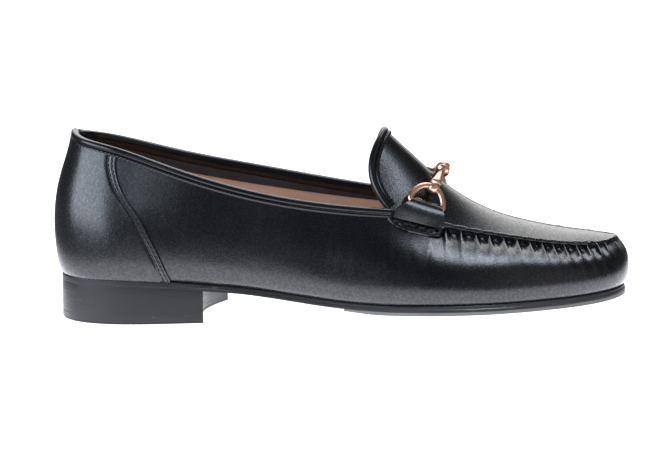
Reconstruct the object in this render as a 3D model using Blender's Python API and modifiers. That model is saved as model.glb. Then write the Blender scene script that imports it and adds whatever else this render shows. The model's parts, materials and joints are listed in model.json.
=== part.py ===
"""A woman's bit loafer: one right shoe, about size 39, standing empty on its sole.

The shoe is worked out from rings that run round the last: the sole's edge, the feather line where the
upper meets the sole, the belly where the upper is widest, and the top line (collar, then apron seam).
A place on a ring is its u, from 0 at the heel's back to 1 at the toe, on the lateral or the medial side.
All sizes below are in millimetres. X runs from heel to toe and -Y is the lateral (outer) side of the foot.
"""
import math
from collections import namedtuple

import bmesh
import bpy
import numpy as np
from mathutils import Matrix, Vector

MM = 0.001
LATERAL, MEDIAL = -1, 1

# Driving sizes
LENGTH = 260.0              # heel's back to toe, over the upper
WALL = 1.8                  # leather and lining together
GAP = 0.3                   # clearance between pieces that touch
MERGE_WITHIN = 0.02         # points closer than this are one
SOLE_THICK = 3.0
HALF_SOLE_THICK = 1.2
INSOLE_THICK = 1.4
TOE_SWING = 4.5             # the toe's tip lies this far to the medial side
SOLE_BACK, SOLE_TIP = 1.6, 258.4
FEATHER_IN = 2.0            # the feather line inside the sole's edge
COLLAR_BACK, SEAM_TIP = 9.5, 254.5
THROAT = 0.555              # u where the collar ends and the apron seam starts
TOE_CORNER = 0.86           # u where the seam turns across the toe
RIDGE_HIGH, RIDGE_WIDE = 0.9, 2.2
RIDGE_FADE = 0.05           # u over which the seam's ridge rises at the throat
TONGUE_TOP_X = 150.4
# How far the tongue's sides reach back past its middle
TONGUE_BULGE = {LATERAL: 7.4, MEDIAL: 5.0}
TONGUE_FADE = 4             # how soon that bulge dies away towards the toe
MIDDLE_MARGIN = 24.0        # the sole's faces close on a middle line that stops short of both round ends

# How the wall's section bends: the shares of the way between two rings that its curves' handles reach
FOOT_HANDLE_OUT, BELLY_HANDLE_LOW, BELLY_HANDLE_HIGH = 0.6, 0.55, 0.52
COLLAR_HANDLE_OUT, COLLAR_HANDLE_DOWN = 0.30, 0.35
SEAM_HANDLE_OUT, SEAM_HANDLE_DOWN = 0.55, 0.25
ROLL_START, ROLL_END = 0.59, 0.72         # u over which the upright collar turns into the rolled forepart

# Section tables. Widths are spans: a ring's half width is its span times sin(pi u), so both ends are round.
Belly = namedtuple("Belly", "u lateral medial height sole_in_lateral sole_in_medial")
BELLY = (
    Belly(0.0, 57.0, 57.0, 40.0, 2.2, 2.2),
    Belly(0.1, 56.6, 56.6, 37.0, 2.2, 2.2),
    Belly(0.2, 49.3, 48.5, 31.5, 2.4, 2.4),
    Belly(0.3, 39.6, 37.7, 29.0, 2.9, 3.4),
    Belly(0.4, 35.2, 30.5, 24.0, 4.2, 6.2),
    Belly(0.5, 40.0, 33.0, 16.5, 3.4, 5.4),
    Belly(0.6, 49.4, 42.6, 15.0, 1.7, 2.4),
    Belly(0.7, 55.1, 52.4, 14.5, 1.4, 1.6),
    Belly(0.8, 55.2, 57.1, 14.5, 1.4, 1.4),
    Belly(0.9, 55.1, 58.2, 15.5, 1.4, 1.4),
    Belly(1.0, 55.0, 58.0, 16.5, 1.4, 1.4),
)
Top = namedtuple("Top", "u lateral medial height_lateral height_medial")
TOP = (
    Top(0.0, 46.0, 46.0, 84.6, 84.6),
    Top(0.1, 45.3, 45.3, 81.6, 81.6),
    Top(0.2, 37.4, 37.4, 77.3, 76.9),
    Top(0.3, 32.1, 32.1, 67.7, 69.2),
    Top(0.4, 28.9, 28.7, 57.4, 61.7),
    Top(0.5, 27.0, 26.8, 50.6, 54.2),
    Top(THROAT, 26.0, 25.3, 48.4, 50.6),
    Top(0.6, 24.4, 23.6, 42.6, 44.6),
    Top(0.7, 25.8, 24.6, 34.5, 35.4),
    Top(0.8, 30.4, 30.2, 30.0, 30.8),
    Top(0.9, 31.0, 37.6, 29.0, 29.8),
    Top(1.0, 31.0, 39.0, 30.0, 30.0),
)
Bottom = namedtuple("Bottom", "x under crown")
BOTTOM = (
    Bottom(0.0, 17.3, 0.0),
    Bottom(25.0, 17.2, 0.0),
    Bottom(50.0, 16.0, 0.0),
    Bottom(71.0, 14.0, 0.0),
    Bottom(84.0, 12.6, 0.2),
    Bottom(97.0, 10.5, 0.5),
    Bottom(111.0, 7.9, 1.0),
    Bottom(124.0, 5.4, 1.8),
    Bottom(138.0, 3.2, 2.8),
    Bottom(152.0, 1.9, 3.6),
    Bottom(163.0, 1.5, 4.0),
    Bottom(190.0, 1.5, 4.0),
    Bottom(205.0, 1.8, 3.7),
    Bottom(220.0, 2.4, 3.0),
    Bottom(235.0, 3.4, 1.8),
    Bottom(248.0, 4.5, 0.7),
    Bottom(260.0, 5.7, 0.0),
)
CROWN_FLAT = 0.3            # the middle share of the sole's width that stays flat
CROWN_POWER = 1.6           # how late the crown rises towards the edge
Spine = namedtuple("Spine", "x height")
SPINE = (
    Spine(TONGUE_TOP_X, 82.0),
    Spine(155.0, 77.4),
    Spine(162.0, 70.6),
    Spine(173.0, 59.9),
    Spine(187.0, 49.3),
    Spine(201.0, 42.2),
    Spine(216.0, 37.6),
    Spine(231.0, 34.3),
    Spine(243.0, 32.3),
    Spine(SEAM_TIP, 30.0),
)

# Heel block
BREAST_LATERAL, BREAST_MEDIAL = 68.0, 75.0
BREAST_HOLLOW = 6.0
HEEL_FLARE = 0.6            # how far the block widens from its top to the floor
HEEL_CHAMFER = 0.5
HEEL_MIDDLE = (36.0, 0.0)   # where its top and floor faces close

# Half sole
HALF_SOLE_START_LATERAL, HALF_SOLE_START_MEDIAL = 131.0, 134.0
HALF_SOLE_IN = 0.3

# Overlays and bindings
COUNTER_THICK = 0.8
COUNTER_LOW, COUNTER_HIGH = 3.4, 4.2      # kept clear of the feather line and of the collar's rim
CounterEdge = namedtuple("CounterEdge", "height x")
COUNTER_EDGE = (
    CounterEdge(20.0, 54.0),
    CounterEdge(31.0, 49.6),
    CounterEdge(41.0, 44.9),
    CounterEdge(50.0, 40.1),
    CounterEdge(57.0, 35.1),
    CounterEdge(62.0, 32.7),
    CounterEdge(67.0, 31.3),
    CounterEdge(71.0, 30.8),
    CounterEdge(76.0, 31.6),
)
BINDING_THICK = 0.7
BINDING_OUT, BINDING_IN = 3.4, 4.4        # how far the strip reaches down outside and inside
BINDING_END = 0.538                       # u where the collar's strip stops behind the tab

# Tabs and bit
TAB_THICK = 1.2
TAB_LIFT = 0.6                            # the tab's inner face stands at least this far off the upper
# Rows up the tab: distance above the seam (minus is below it), both ends, and what it lifts further
TabRow = namedtuple("TabRow", "above left right lift")
TAB_ROWS = (
    TabRow(-8.5, 160.0, 169.0, 0.0),
    TabRow(-7.7, 156.2, 172.4, 0.0),
    TabRow(-6.2, 152.8, 174.6, 0.0),
    TabRow(-4.2, 151.2, 175.5, 0.1),
    TabRow(-1.8, 152.4, 175.6, 0.5),
    TabRow(0.6, 154.0, 175.4, 1.1),
    TabRow(2.2, 155.8, 175.0, 2.0),
    TabRow(4.0, 158.6, 174.6, 3.2),
)
FOLD_FROM, FOLD_TO = math.radians(115.0), math.radians(-100.0)
WIRE = 1.4
RING_RADIUS, RING_HIGH = 7.9, 9.8          # half the ring's width, and how far its arch rises
# Where the ring's straight wire lies over the upper
RingEnd = namedtuple("RingEnd", "x above")
RING_ENDS = (RingEnd(162.6, 8.1), RingEnd(177.4, 4.9))
RING_TILT = math.radians(12.0)            # how far the ring stands away from the apron
FOLD_HALF = 5.3                           # half the width of the tab's fold, between the ring's two ends
EYE_ANGLE = math.radians(81.0)
EYE_WIRE = 0.75
BIT_MIDDLE = (176.6, 0.0, 63.2)
# The turned bar, from beside its eye over the neck to the flared bell: distances from the end that is named
BarRow = namedtuple("BarRow", "end distance radius")
BAR_ROWS = (
    BarRow("eye", 0.0, 0.0),
    BarRow("eye", 0.0, 1.8),
    BarRow("eye", 0.8, 2.6),
    BarRow("eye", 2.2, 2.4),
    BarRow("bell", 3.2, 1.3),
    BarRow("bell", 2.2, 1.9),
    BarRow("bell", 1.1, 3.3),
    BarRow("bell", 0.3, 3.1),
    BarRow("bell", 0.0, 1.8),
    BarRow("bell", 0.0, 0.0),
)
LINK_LENGTH, LINK_RADIUS, LINK_END = 3.6, 1.7, 0.9
TURN_STEPS = 12                           # facets round a turned piece


# Smooth curves through the tables

class Curve:
    """A smooth curve through a table's columns; straight_runs keeps level rows level."""

    def __init__(self, rows, across, up, corner=None, straight_runs=False):
        self.pieces = []
        points = [(getattr(row, across), getattr(row, up)) for row in rows]
        if corner is None:
            runs = [points]
        else:
            runs = [[p for p in points if p[0] <= corner], [p for p in points if p[0] >= corner]]
        for run in runs:
            xs = np.array([p[0] for p in run])
            ys = np.array([p[1] for p in run])
            slopes = level_slopes(xs, ys) if straight_runs else spline_slopes(xs, ys)
            self.pieces.append((xs, ys, slopes))

    def __call__(self, x):
        xs, ys, slopes = self.pieces[0]
        if len(self.pieces) > 1 and x > xs[-1]:
            xs, ys, slopes = self.pieces[1]
        x = min(max(x, xs[0]), xs[-1])
        i = min(int(np.searchsorted(xs, x, side="right")) - 1, len(xs) - 2)
        step = xs[i + 1] - xs[i]
        t = (x - xs[i]) / step
        start = (1 + 2 * t) * (1 - t) ** 2 * ys[i] + t * (1 - t) ** 2 * step * slopes[i]
        end = t * t * (3 - 2 * t) * ys[i + 1] + t * t * (t - 1) * step * slopes[i + 1]
        return float(start + end)


def spline_slopes(xs, ys):
    """Slopes of the natural cubic spline, which bends evenly through its points."""
    count = len(xs)
    step = np.diff(xs)
    rise = np.diff(ys) / step
    system = np.zeros((count, count))
    right = np.zeros(count)
    system[0, :2] = (2.0, 1.0)
    right[0] = 3.0 * rise[0]
    system[-1, -2:] = (1.0, 2.0)
    right[-1] = 3.0 * rise[-1]
    for i in range(1, count - 1):
        system[i, i - 1:i + 2] = (step[i], 2.0 * (step[i - 1] + step[i]), step[i - 1])
        right[i] = 3.0 * (rise[i - 1] * step[i] + rise[i] * step[i - 1])
    return np.linalg.solve(system, right)


def level_slopes(xs, ys):
    """Slopes that never overshoot the points, so that a level run stays level."""
    rise = np.diff(ys) / np.diff(xs)
    slopes = np.zeros(len(xs))
    slopes[0], slopes[-1] = rise[0], rise[-1]
    for i in range(1, len(xs) - 1):
        if rise[i - 1] * rise[i] > 0:
            slopes[i] = 2.0 * rise[i - 1] * rise[i] / (rise[i - 1] + rise[i])
    return slopes


def ease(t):
    """A smooth step from 0 to 1."""
    t = min(max(t, 0.0), 1.0)
    return t * t * (3.0 - 2.0 * t)


belly_span = {LATERAL: Curve(BELLY, "u", "lateral"), MEDIAL: Curve(BELLY, "u", "medial")}
belly_height = Curve(BELLY, "u", "height")
sole_in = {LATERAL: Curve(BELLY, "u", "sole_in_lateral"), MEDIAL: Curve(BELLY, "u", "sole_in_medial")}
top_span = {LATERAL: Curve(TOP, "u", "lateral"), MEDIAL: Curve(TOP, "u", "medial")}
top_height = {LATERAL: Curve(TOP, "u", "height_lateral", corner=THROAT),
              MEDIAL: Curve(TOP, "u", "height_medial", corner=THROAT)}
sole_under = Curve(BOTTOM, "x", "under", straight_runs=True)
sole_crown = Curve(BOTTOM, "x", "crown", straight_runs=True)
spine_height = Curve(SPINE, "x", "height")
counter_front = Curve(COUNTER_EDGE, "height", "x")


# Rings of the last

def along(u, back, front):
    """X of a ring's point, close-set at the round ends."""
    return back + (front - back) * (1.0 - math.cos(math.pi * u)) / 2.0


def u_at(x, back, front):
    """The u of the ring point at a given X."""
    share = min(max((x - back) / (front - back), 0.0), 1.0)
    return math.acos(1.0 - 2.0 * share) / math.pi


def middle_y(u):
    """The ring's middle line, which swings to the medial side at the toe."""
    return TOE_SWING * ease((u - 0.5) / 0.5)


def ring_xy(u, side, back, front, span):
    return along(u, back, front), middle_y(u) + side * span * math.sin(math.pi * u)


def sole_edge(u, side, inset=0.0):
    """A point of the sole's outline, or of a ring a little inside it."""
    span = belly_span[side](u) - sole_in[side](u) - inset
    return ring_xy(u, side, SOLE_BACK + inset, SOLE_TIP - inset, span)


def under_height(x, y):
    """Height of the outsole's underside, with the forepart's crown across its width."""
    u = u_at(x, SOLE_BACK, SOLE_TIP)
    side = LATERAL if y < middle_y(u) else MEDIAL
    edge = abs(sole_edge(u, side)[1] - middle_y(u))
    across = min(abs(y - middle_y(u)) / max(edge, 1.0), 1.0)
    rise = max(0.0, (across - CROWN_FLAT) / (1.0 - CROWN_FLAT))
    return sole_under(x) + sole_crown(x) * rise ** CROWN_POWER


def bezier(a, b, c, d, t):
    s = 1.0 - t
    return s ** 3 * a + 3 * s * s * t * b + 3 * s * t * t * c + t ** 3 * d


# The upper's wall, from the feather line up to the collar or the seam

PROFILE_STEPS = 24
profiles = {}


def top_point(u, side):
    x, y = ring_xy(u, side, COLLAR_BACK, SEAM_TIP, top_span[side](u))
    return np.array((x, y, top_height[side](u)))


def profile(u, side):
    """Points up the wall and the length walked to each, feather line first."""
    key = (round(u, 6), side)
    if key not in profiles:
        foot_x, foot_y = sole_edge(u, side, FEATHER_IN)
        foot = np.array((foot_x, foot_y, under_height(foot_x, foot_y) + SOLE_THICK + GAP))
        belly_x, belly_y = ring_xy(u, side, 0.0, LENGTH, belly_span[side](u))
        belly = np.array((belly_x, belly_y, belly_height(u)))
        top = top_point(u, side)
        roll = ease((u - ROLL_START) / (ROLL_END - ROLL_START))
        out_low = (belly - foot) * (1, 1, 0)
        out_high = (belly - top) * (1, 1, 0)
        rise_low = (belly - foot) * (0, 0, 1)
        rise_high = (top - belly) * (0, 0, 1)
        lower = (foot, foot + FOOT_HANDLE_OUT * out_low, belly - BELLY_HANDLE_LOW * rise_low, belly)
        lean = COLLAR_HANDLE_OUT * (1 - roll) + SEAM_HANDLE_OUT * roll
        drop = COLLAR_HANDLE_DOWN * (1 - roll) + SEAM_HANDLE_DOWN * roll
        upper = (belly, belly + BELLY_HANDLE_HIGH * rise_high, top + lean * out_high - drop * rise_high, top)
        steps = [k / PROFILE_STEPS for k in range(PROFILE_STEPS + 1)]
        points = [bezier(*lower, t) for t in steps] + [bezier(*upper, t) for t in steps[1:]]
        points = np.array(points)
        walked = np.concatenate(([0.0], np.cumsum(np.linalg.norm(np.diff(points, axis=0), axis=1))))
        profiles[key] = (points, walked)
    return profiles[key]


def wall_length(u, side):
    return profile(u, side)[1][-1]


def ridge(distance, u):
    """How far the moccasin seam stands up, at a distance from it."""
    near = max(0.0, 1.0 - distance / RIDGE_WIDE)
    return RIDGE_HIGH * near * near * ease((u - THROAT) / RIDGE_FADE)


def wall(u, side, s):
    """A point of the upper's outer face: s is 0 at the feather line and 1 at the top line."""
    points, walked = profile(u, side)
    place = s * walked[-1]
    point = np.array([np.interp(place, walked, points[:, axis]) for axis in range(3)])
    point[2] += ridge(walked[-1] - place, u)
    return point


def wall_normal(u, side, s):
    u_step, s_step = 0.004, 0.02
    u_low, u_high = max(u - u_step, 0.0), min(u + u_step, 1.0)
    s_low, s_high = max(s - s_step, 0.0), min(s + s_step, 1.0)
    along_u = wall(u_high, side, s) - wall(u_low, side, s)
    up = wall(u, side, s_high) - wall(u, side, s_low)
    normal = -side * np.cross(along_u, up)
    return normal / np.linalg.norm(normal)


def wall_below_rim(u, side, distance):
    """A point of the wall a distance below its top line."""
    return 1.0 - distance / wall_length(u, side)


# The apron and tongue, between the two seams

def seam_u(sigma):
    return THROAT + sigma * (TOE_CORNER - THROAT)


def side_of(eta):
    return LATERAL if eta < 0 else MEDIAL


def apron_base(sigma, eta):
    """The apron laid between its edges, before its crown is raised."""
    share = (eta + 1.0) / 2.0
    seam = (1 - share) * top_point(seam_u(sigma), LATERAL) + share * top_point(seam_u(sigma), MEDIAL)
    throat = (1 - share) * top_point(THROAT, LATERAL) + share * top_point(THROAT, MEDIAL)
    corners = (1 - share) * top_point(TOE_CORNER, LATERAL) + share * top_point(TOE_CORNER, MEDIAL)
    toe = top_point(1.0 - abs(eta) * (1.0 - TOE_CORNER), side_of(eta))
    tongue = throat.copy()
    tongue[0] = TONGUE_TOP_X + (throat[0] - TONGUE_TOP_X) * eta * eta
    return seam + (1 - sigma) * (tongue - throat) + sigma * (toe - corners)


def apron(sigma, eta):
    """A point of the apron: sigma 0 at the tongue's edge and 1 at the toe, eta -1 lateral to 1 medial."""
    point = apron_base(sigma, eta)
    middle = apron_base(sigma, 0.0)
    crown = spine_height(middle[0]) - middle[2]
    point[2] += crown * (1.0 - eta * eta)
    bulge = 4.0 * eta * eta * (1.0 - eta * eta)
    point[0] -= TONGUE_BULGE[side_of(eta)] * bulge * (1.0 - sigma) ** TONGUE_FADE
    seam = top_point(seam_u(sigma), side_of(eta))
    front = (1.0 - sigma) * (SEAM_TIP - TONGUE_TOP_X)
    distance = min(abs(point[1] - seam[1]), front)
    point[2] += ridge(distance, seam_u(sigma) if abs(eta) > 0.5 or sigma < 0.5 else 1.0)
    return point


def apron_normal(sigma, eta):
    step = 0.01
    forward = apron(min(sigma + step, 1.0), eta) - apron(max(sigma - step, 0.0), eta)
    across = apron(sigma, min(eta + step, 1.0)) - apron(sigma, max(eta - step, -1.0))
    normal = np.cross(forward, across)
    return normal / np.linalg.norm(normal)


# Blender helpers

def material(name, colour, roughness, metallic=0.0):
    made = bpy.data.materials.new(name)
    made.use_nodes = True
    shader = made.node_tree.nodes["Principled BSDF"]
    shader.inputs["Base Color"].default_value = (*colour, 1.0)
    shader.inputs["Roughness"].default_value = roughness
    shader.inputs["Metallic"].default_value = metallic
    return made


def add_object(name, data, finish):
    made = bpy.data.objects.new(name, data)
    made.data.materials.append(finish)
    shoe.objects.link(made)
    made.parent = stand
    return made


def mapped_grid(columns, rows, place):
    """A grid whose point (column, row) is put at place(column, row), with meeting points merged."""
    bm = bmesh.new()
    bmesh.ops.create_grid(bm, x_segments=columns, y_segments=rows, size=0.5)
    for vertex in bm.verts:
        column = round((vertex.co.x + 0.5) * columns)
        row = round((vertex.co.y + 0.5) * rows)
        vertex.co = Vector(place(column, row)) * MM
    return bm


def merge(bm):
    bmesh.ops.remove_doubles(bm, verts=bm.verts, dist=MERGE_WITHIN * MM)


def solid(name, bm, finish, smooth_angle=40.0):
    """A closed mesh, facing outwards, as a named object."""
    merge(bm)
    bmesh.ops.holes_fill(bm, edges=bm.edges, sides=0)
    bmesh.ops.recalc_face_normals(bm, faces=bm.faces)
    mesh = bpy.data.meshes.new(name)
    bm.to_mesh(mesh)
    bm.free()
    mesh.shade_smooth()
    mesh.set_sharp_from_angle(angle=math.radians(smooth_angle))
    return add_object(name, mesh, finish)


def shell(name, bm, finish, thickness, outward, towards):
    """An open surface made solid; towards says which way its first face should look."""
    merge(bm)
    bmesh.ops.recalc_face_normals(bm, faces=bm.faces)
    bm.faces.ensure_lookup_table()
    if bm.faces[0].normal.dot(Vector(towards)) < 0:
        bmesh.ops.reverse_faces(bm, faces=bm.faces)
    mesh = bpy.data.meshes.new(name)
    bm.to_mesh(mesh)
    bm.free()
    mesh.shade_smooth()
    made = add_object(name, mesh, finish)
    thicken = made.modifiers.new("wall", "SOLIDIFY")
    thicken.thickness = thickness * MM
    thicken.offset = 1.0 if outward else -1.0
    thicken.use_even_offset = True
    return made


# Sole

def middle_line(u):
    """The middle line that the sole's faces are closed on, held back from both round ends."""
    return np.array((along(u, SOLE_BACK + MIDDLE_MARGIN, SOLE_TIP - MIDDLE_MARGIN), middle_y(u)))


def make_outsole():
    """Rings from the top's middle line out to the edge, down its side and back underneath."""
    columns_a_side = 33
    edge_round, edge_bulge = 0.4, 0.15
    rows = [("top", 0.0, 0.0), ("top", 0.55, 0.0), ("top", 1.0, edge_round), ("side", 0.86, 0.0),
            ("side", 0.5, -edge_bulge), ("side", 0.14, 0.0), ("under", 1.0, edge_round), ("under", 0.75, 0.0),
            ("under", 0.4, 0.0), ("under", 0.0, 0.0)]

    def place(column, row):
        side = LATERAL if column <= columns_a_side else MEDIAL
        u = column / columns_a_side if side == LATERAL else 2.0 - column / columns_a_side
        face, share, inset = rows[row]
        x, y = sole_edge(u, side, inset)
        if face == "side":
            return x, y, under_height(x, y) + share * SOLE_THICK
        edge = np.array((x, y))
        x, y = middle_line(u) * (1 - share) + edge * share
        return x, y, under_height(x, y) + (SOLE_THICK if face == "top" else 0.0)

    return solid("outsole", mapped_grid(2 * columns_a_side, len(rows) - 1, place), black_edge)


def make_half_sole():
    """A thin tread that follows the outsole's underside from the waist to the toe."""
    stations = 20
    across = (-1.0, -0.85, -0.65, -CROWN_FLAT, CROWN_FLAT, 0.65, 0.85, 1.0)
    last_u = 0.985

    def place(column, row):
        face = "top" if column < len(across) else "under"
        v = across[column] if face == "top" else across[2 * len(across) - 1 - column]
        side = LATERAL if v < 0 else MEDIAL
        start_x = (HALF_SOLE_START_LATERAL * (1 - v) + HALF_SOLE_START_MEDIAL * (1 + v)) / 2.0
        start_u = u_at(start_x, SOLE_BACK, SOLE_TIP)
        u = start_u + (last_u - start_u) * row / stations
        x, edge_y = sole_edge(u, side, HALF_SOLE_IN)
        y = middle_y(u) + abs(v) * (edge_y - middle_y(u))
        under = under_height(x, y) - GAP - HALF_SOLE_THICK
        return x, y, under + (HALF_SOLE_THICK if face == "top" else 0.0)

    columns = 2 * len(across)
    bm = mapped_grid(columns, stations, lambda column, row: place(column % columns, row))
    return solid("half_sole", bm, tread_grey, smooth_angle=30.0)


def make_heel():
    """The block under the heel seat, with a hollow breast."""
    round_columns, breast_columns = 30, 10
    columns = round_columns + breast_columns
    # Each row's face, its share of the way out from the middle (for the side, its height), and its inset
    rows = [("top", 0.0, 0.0), ("top", 0.5, 0.0), ("top", 1.0, 0.0), ("side", HEEL_CHAMFER, 0.0),
            ("floor", 1.0, HEEL_CHAMFER), ("floor", 0.0, HEEL_CHAMFER)]
    corner_u = {LATERAL: u_at(BREAST_LATERAL, SOLE_BACK, SOLE_TIP),
                MEDIAL: u_at(BREAST_MEDIAL, SOLE_BACK, SOLE_TIP)}
    middle = np.array(HEEL_MIDDLE)

    def outline(column, inset):
        if column <= round_columns:
            share = column / round_columns * 2.0 - 1.0
            side = LATERAL if share < 0 else MEDIAL
            return np.array(sole_edge(abs(share) * corner_u[side], side, inset))
        t = (column - round_columns) / breast_columns
        start = np.array(sole_edge(corner_u[MEDIAL], MEDIAL, inset))
        end = np.array(sole_edge(corner_u[LATERAL], LATERAL, inset))
        point = (1 - t) * start + t * end
        point[0] -= BREAST_HOLLOW * 4.0 * t * (1.0 - t)
        return point

    def place(column, row):
        face, share, inset = rows[row]
        flare = 0.0 if face == "top" else HEEL_FLARE
        edge = outline(column % columns, inset - flare)
        if face == "side":
            return edge[0], edge[1], share
        x, y = middle * (1 - share) + edge * share
        height = under_height(x, y) - GAP if face == "top" else 0.0
        return x, y, height

    return solid("heel", mapped_grid(columns, len(rows) - 1, place), black_edge, smooth_angle=35.0)


def make_insole():
    """The board inside the feather line, level with the wall's lower edge."""
    columns_a_side = 24
    rows = [("top", 0.0), ("top", 0.6), ("top", 1.0), ("under", 1.0), ("under", 0.6), ("under", 0.0)]
    inset = FEATHER_IN + WALL + 2.0 * GAP

    def place(column, row):
        side = LATERAL if column <= columns_a_side else MEDIAL
        u = column / columns_a_side if side == LATERAL else 2.0 - column / columns_a_side
        face, share = rows[row]
        edge = np.array(sole_edge(u, side, inset))
        x, y = middle_line(u) * (1 - share) + edge * share
        base = under_height(x, y) + SOLE_THICK + GAP
        return x, y, base + (INSOLE_THICK if face == "top" else 0.0)

    return solid("insole", mapped_grid(2 * columns_a_side, len(rows) - 1, place), tan_leather)


# Upper

APRON_ROWS = [0.9 * k / 16 for k in range(16)] + [0.9, 0.975, 1.0]
HALF_APRON = [0.12, 0.25, 0.39, 0.53, 0.67, 0.80, 0.90, 0.965, 1.0]
APRON_COLUMNS = [-eta for eta in reversed(HALF_APRON)] + [0.0] + HALF_APRON
REAR_COLUMNS = 18


def wall_columns():
    """The u of each wall column on one side: the collar, then the seam's rows, then the toe's columns."""
    rear = [THROAT * k / REAR_COLUMNS for k in range(REAR_COLUMNS)]
    seam = [seam_u(sigma) for sigma in APRON_ROWS]
    toe = [1.0 - abs(eta) * (1.0 - TOE_CORNER) for eta in APRON_COLUMNS[1:] if eta <= 0]
    return rear + seam + toe


def make_upper():
    """The wall, closed round the last, joined to the apron along the seam and given its thickness."""
    one_side = wall_columns()
    ring = [(u, LATERAL) for u in one_side] + [(u, MEDIAL) for u in reversed(one_side[:-1])]
    heights = (0.0, 0.07, 0.17, 0.29, 0.42, 0.55, 0.68, 0.80, 0.90)

    def wall_place(column, row):
        u, side = ring[column]
        if row < len(heights):
            s = heights[row] * (1.0 - RIDGE_WIDE / wall_length(u, side)) / heights[-1]
        else:
            s = 1.0
        return wall(u, side, s)

    def apron_place(column, row):
        return apron(APRON_ROWS[row], APRON_COLUMNS[column])

    bm = mapped_grid(len(ring) - 1, len(heights), wall_place)
    top = mapped_grid(len(APRON_COLUMNS) - 1, len(APRON_ROWS) - 1, apron_place)
    patch = bpy.data.meshes.new("apron")
    top.to_mesh(patch)
    top.free()
    bm.from_mesh(patch)
    bpy.data.meshes.remove(patch)
    return shell("upper", bm, black_calf, WALL, outward=False, towards=(-1, 0, 0))


def counter_u(side, share):
    """The u of the counter's front edge, at a share of the wall's height."""
    low, high = 0.05, 0.45
    halvings = 30
    for _ in range(halvings):
        u = (low + high) / 2.0
        x, _, height = wall(u, side, counter_s(u, side, share))
        if x < counter_front(height):
            low = u
        else:
            high = u
    return low


def counter_s(u, side, share):
    low = COUNTER_LOW / wall_length(u, side)
    high = wall_below_rim(u, side, COUNTER_HIGH)
    return low + share * (high - low)


def make_counter():
    """The heel overlay: a strip of the wall's own face, lifted clear of it and given its thickness."""
    columns, rows = 22, 8
    fronts = {(side, row): counter_u(side, row / rows) for side in (LATERAL, MEDIAL) for row in range(rows + 1)}

    def place(column, row):
        share = column / columns * 2.0 - 1.0
        side = LATERAL if share < 0 else MEDIAL
        u = abs(share) * fronts[side, row]
        s = counter_s(u, side, row / rows)
        return wall(u, side, s) + GAP * wall_normal(u, side, s)

    return shell("heel_counter", mapped_grid(columns, rows, place), black_calf, COUNTER_THICK,
                 outward=True, towards=(0, -1, 0))


def binding_section():
    """The strip's folded section as (out of the wall, down from the rim) pairs."""
    out_near, out_far = GAP, GAP + BINDING_THICK
    in_near, in_far = -WALL - GAP, -WALL - GAP - BINDING_THICK
    top_near, top_far = -GAP, -GAP - BINDING_THICK
    fold = 0.6
    return [(out_near, BINDING_OUT), (out_far, BINDING_OUT), (out_far, top_far + fold),
            (out_far - fold, top_far), (in_far + fold, top_far), (in_far, top_far + fold),
            (in_far, BINDING_IN), (in_near, BINDING_IN), (in_near, top_near), (out_near, top_near)]


def sweep_binding(name, frames):
    """The folded strip carried along the rim; each frame is the rim point, its normal and its way down."""
    section = binding_section()

    def place(column, row):
        rim, normal, down = frames[row]
        out, below = section[column % len(section)]
        return rim + out * normal + below * down

    return solid(name, mapped_grid(len(section), len(frames) - 1, place), black_calf, smooth_angle=50.0)


def make_collar_binding():
    one_side = [u for u in wall_columns() if u < BINDING_END] + [BINDING_END]
    stations = [(u, LATERAL) for u in reversed(one_side[1:])] + [(u, MEDIAL) for u in one_side]
    frames = []
    for u, side in stations:
        rim = wall(u, side, 1.0)
        below = wall(u, side, wall_below_rim(u, side, BINDING_OUT))
        down = (below - rim) / np.linalg.norm(below - rim)
        normal = wall_normal(u, side, wall_below_rim(u, side, BINDING_OUT / 2.0))
        frames.append((rim, normal, down))
    return sweep_binding("collar_binding", frames)


def make_tongue_binding():
    frames = []
    step = 0.02
    for eta in APRON_COLUMNS[1:-1]:
        rim = apron(0.0, eta)
        normal = apron_normal(step, eta)
        edge = apron(0.0, min(eta + step, 1.0)) - apron(0.0, max(eta - step, -1.0))
        down = np.cross(edge, normal)
        down /= np.linalg.norm(down)
        if down.dot(apron(step, eta) - rim) < 0:
            down = -down
        frames.append((rim, normal, down))
    return sweep_binding("tongue_binding", frames)


# Tabs and bit

def on_upper(side, x, above):
    """A point on the upper and its normal, at an X along the seam and a distance above (or below) it."""
    u = u_at(x, COLLAR_BACK, SEAM_TIP)
    if above <= 0.0 or u <= THROAT:
        below_ridge = wall_below_rim(u, side, RIDGE_WIDE)
        s = wall_below_rim(u, side, max(-above, 0.0))
        return wall(u, side, s), wall_normal(u, side, min(s, below_ridge))
    sigma = (u - THROAT) / (TOE_CORNER - THROAT)
    step = 0.1
    pace = np.linalg.norm(apron(sigma, side * (1.0 - step)) - apron(sigma, side)) / step
    eta = side * (1.0 - above / pace)
    return apron(sigma, eta), apron_normal(sigma, eta)


def ring_frame(side):
    """Where the ring's straight wire lies in the tab's fold: its middle, and its along, up and out axes."""
    ends = []
    for end in RING_ENDS:
        point, normal = on_upper(side, end.x, end.above)
        ends.append(point + normal * (TAB_LIFT + TAB_THICK + GAP + WIRE))
    middle = (ends[0] + ends[1]) / 2.0
    forward = ends[1] - ends[0]
    forward /= np.linalg.norm(forward)
    back, front = RING_ENDS
    normal = on_upper(side, (back.x + front.x) / 2.0, (back.above + front.above) / 2.0)[1]
    lying = np.cross(forward, normal) * side
    lying /= np.linalg.norm(lying)
    away = np.cross(lying, forward) * side
    up = math.cos(RING_TILT) * lying + math.sin(RING_TILT) * away
    out = np.cross(up, forward) * side
    return middle, forward, up, out


def ring_point(side, turn):
    """A point on the ring's arch, and the way its wire runs there."""
    middle, forward, up, _ = ring_frame(side)
    point = middle + RING_RADIUS * math.cos(turn) * forward + RING_HIGH * math.sin(turn) * up
    way = RING_HIGH * math.cos(turn) * up - RING_RADIUS * math.sin(turn) * forward
    return point, way / np.linalg.norm(way)


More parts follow.
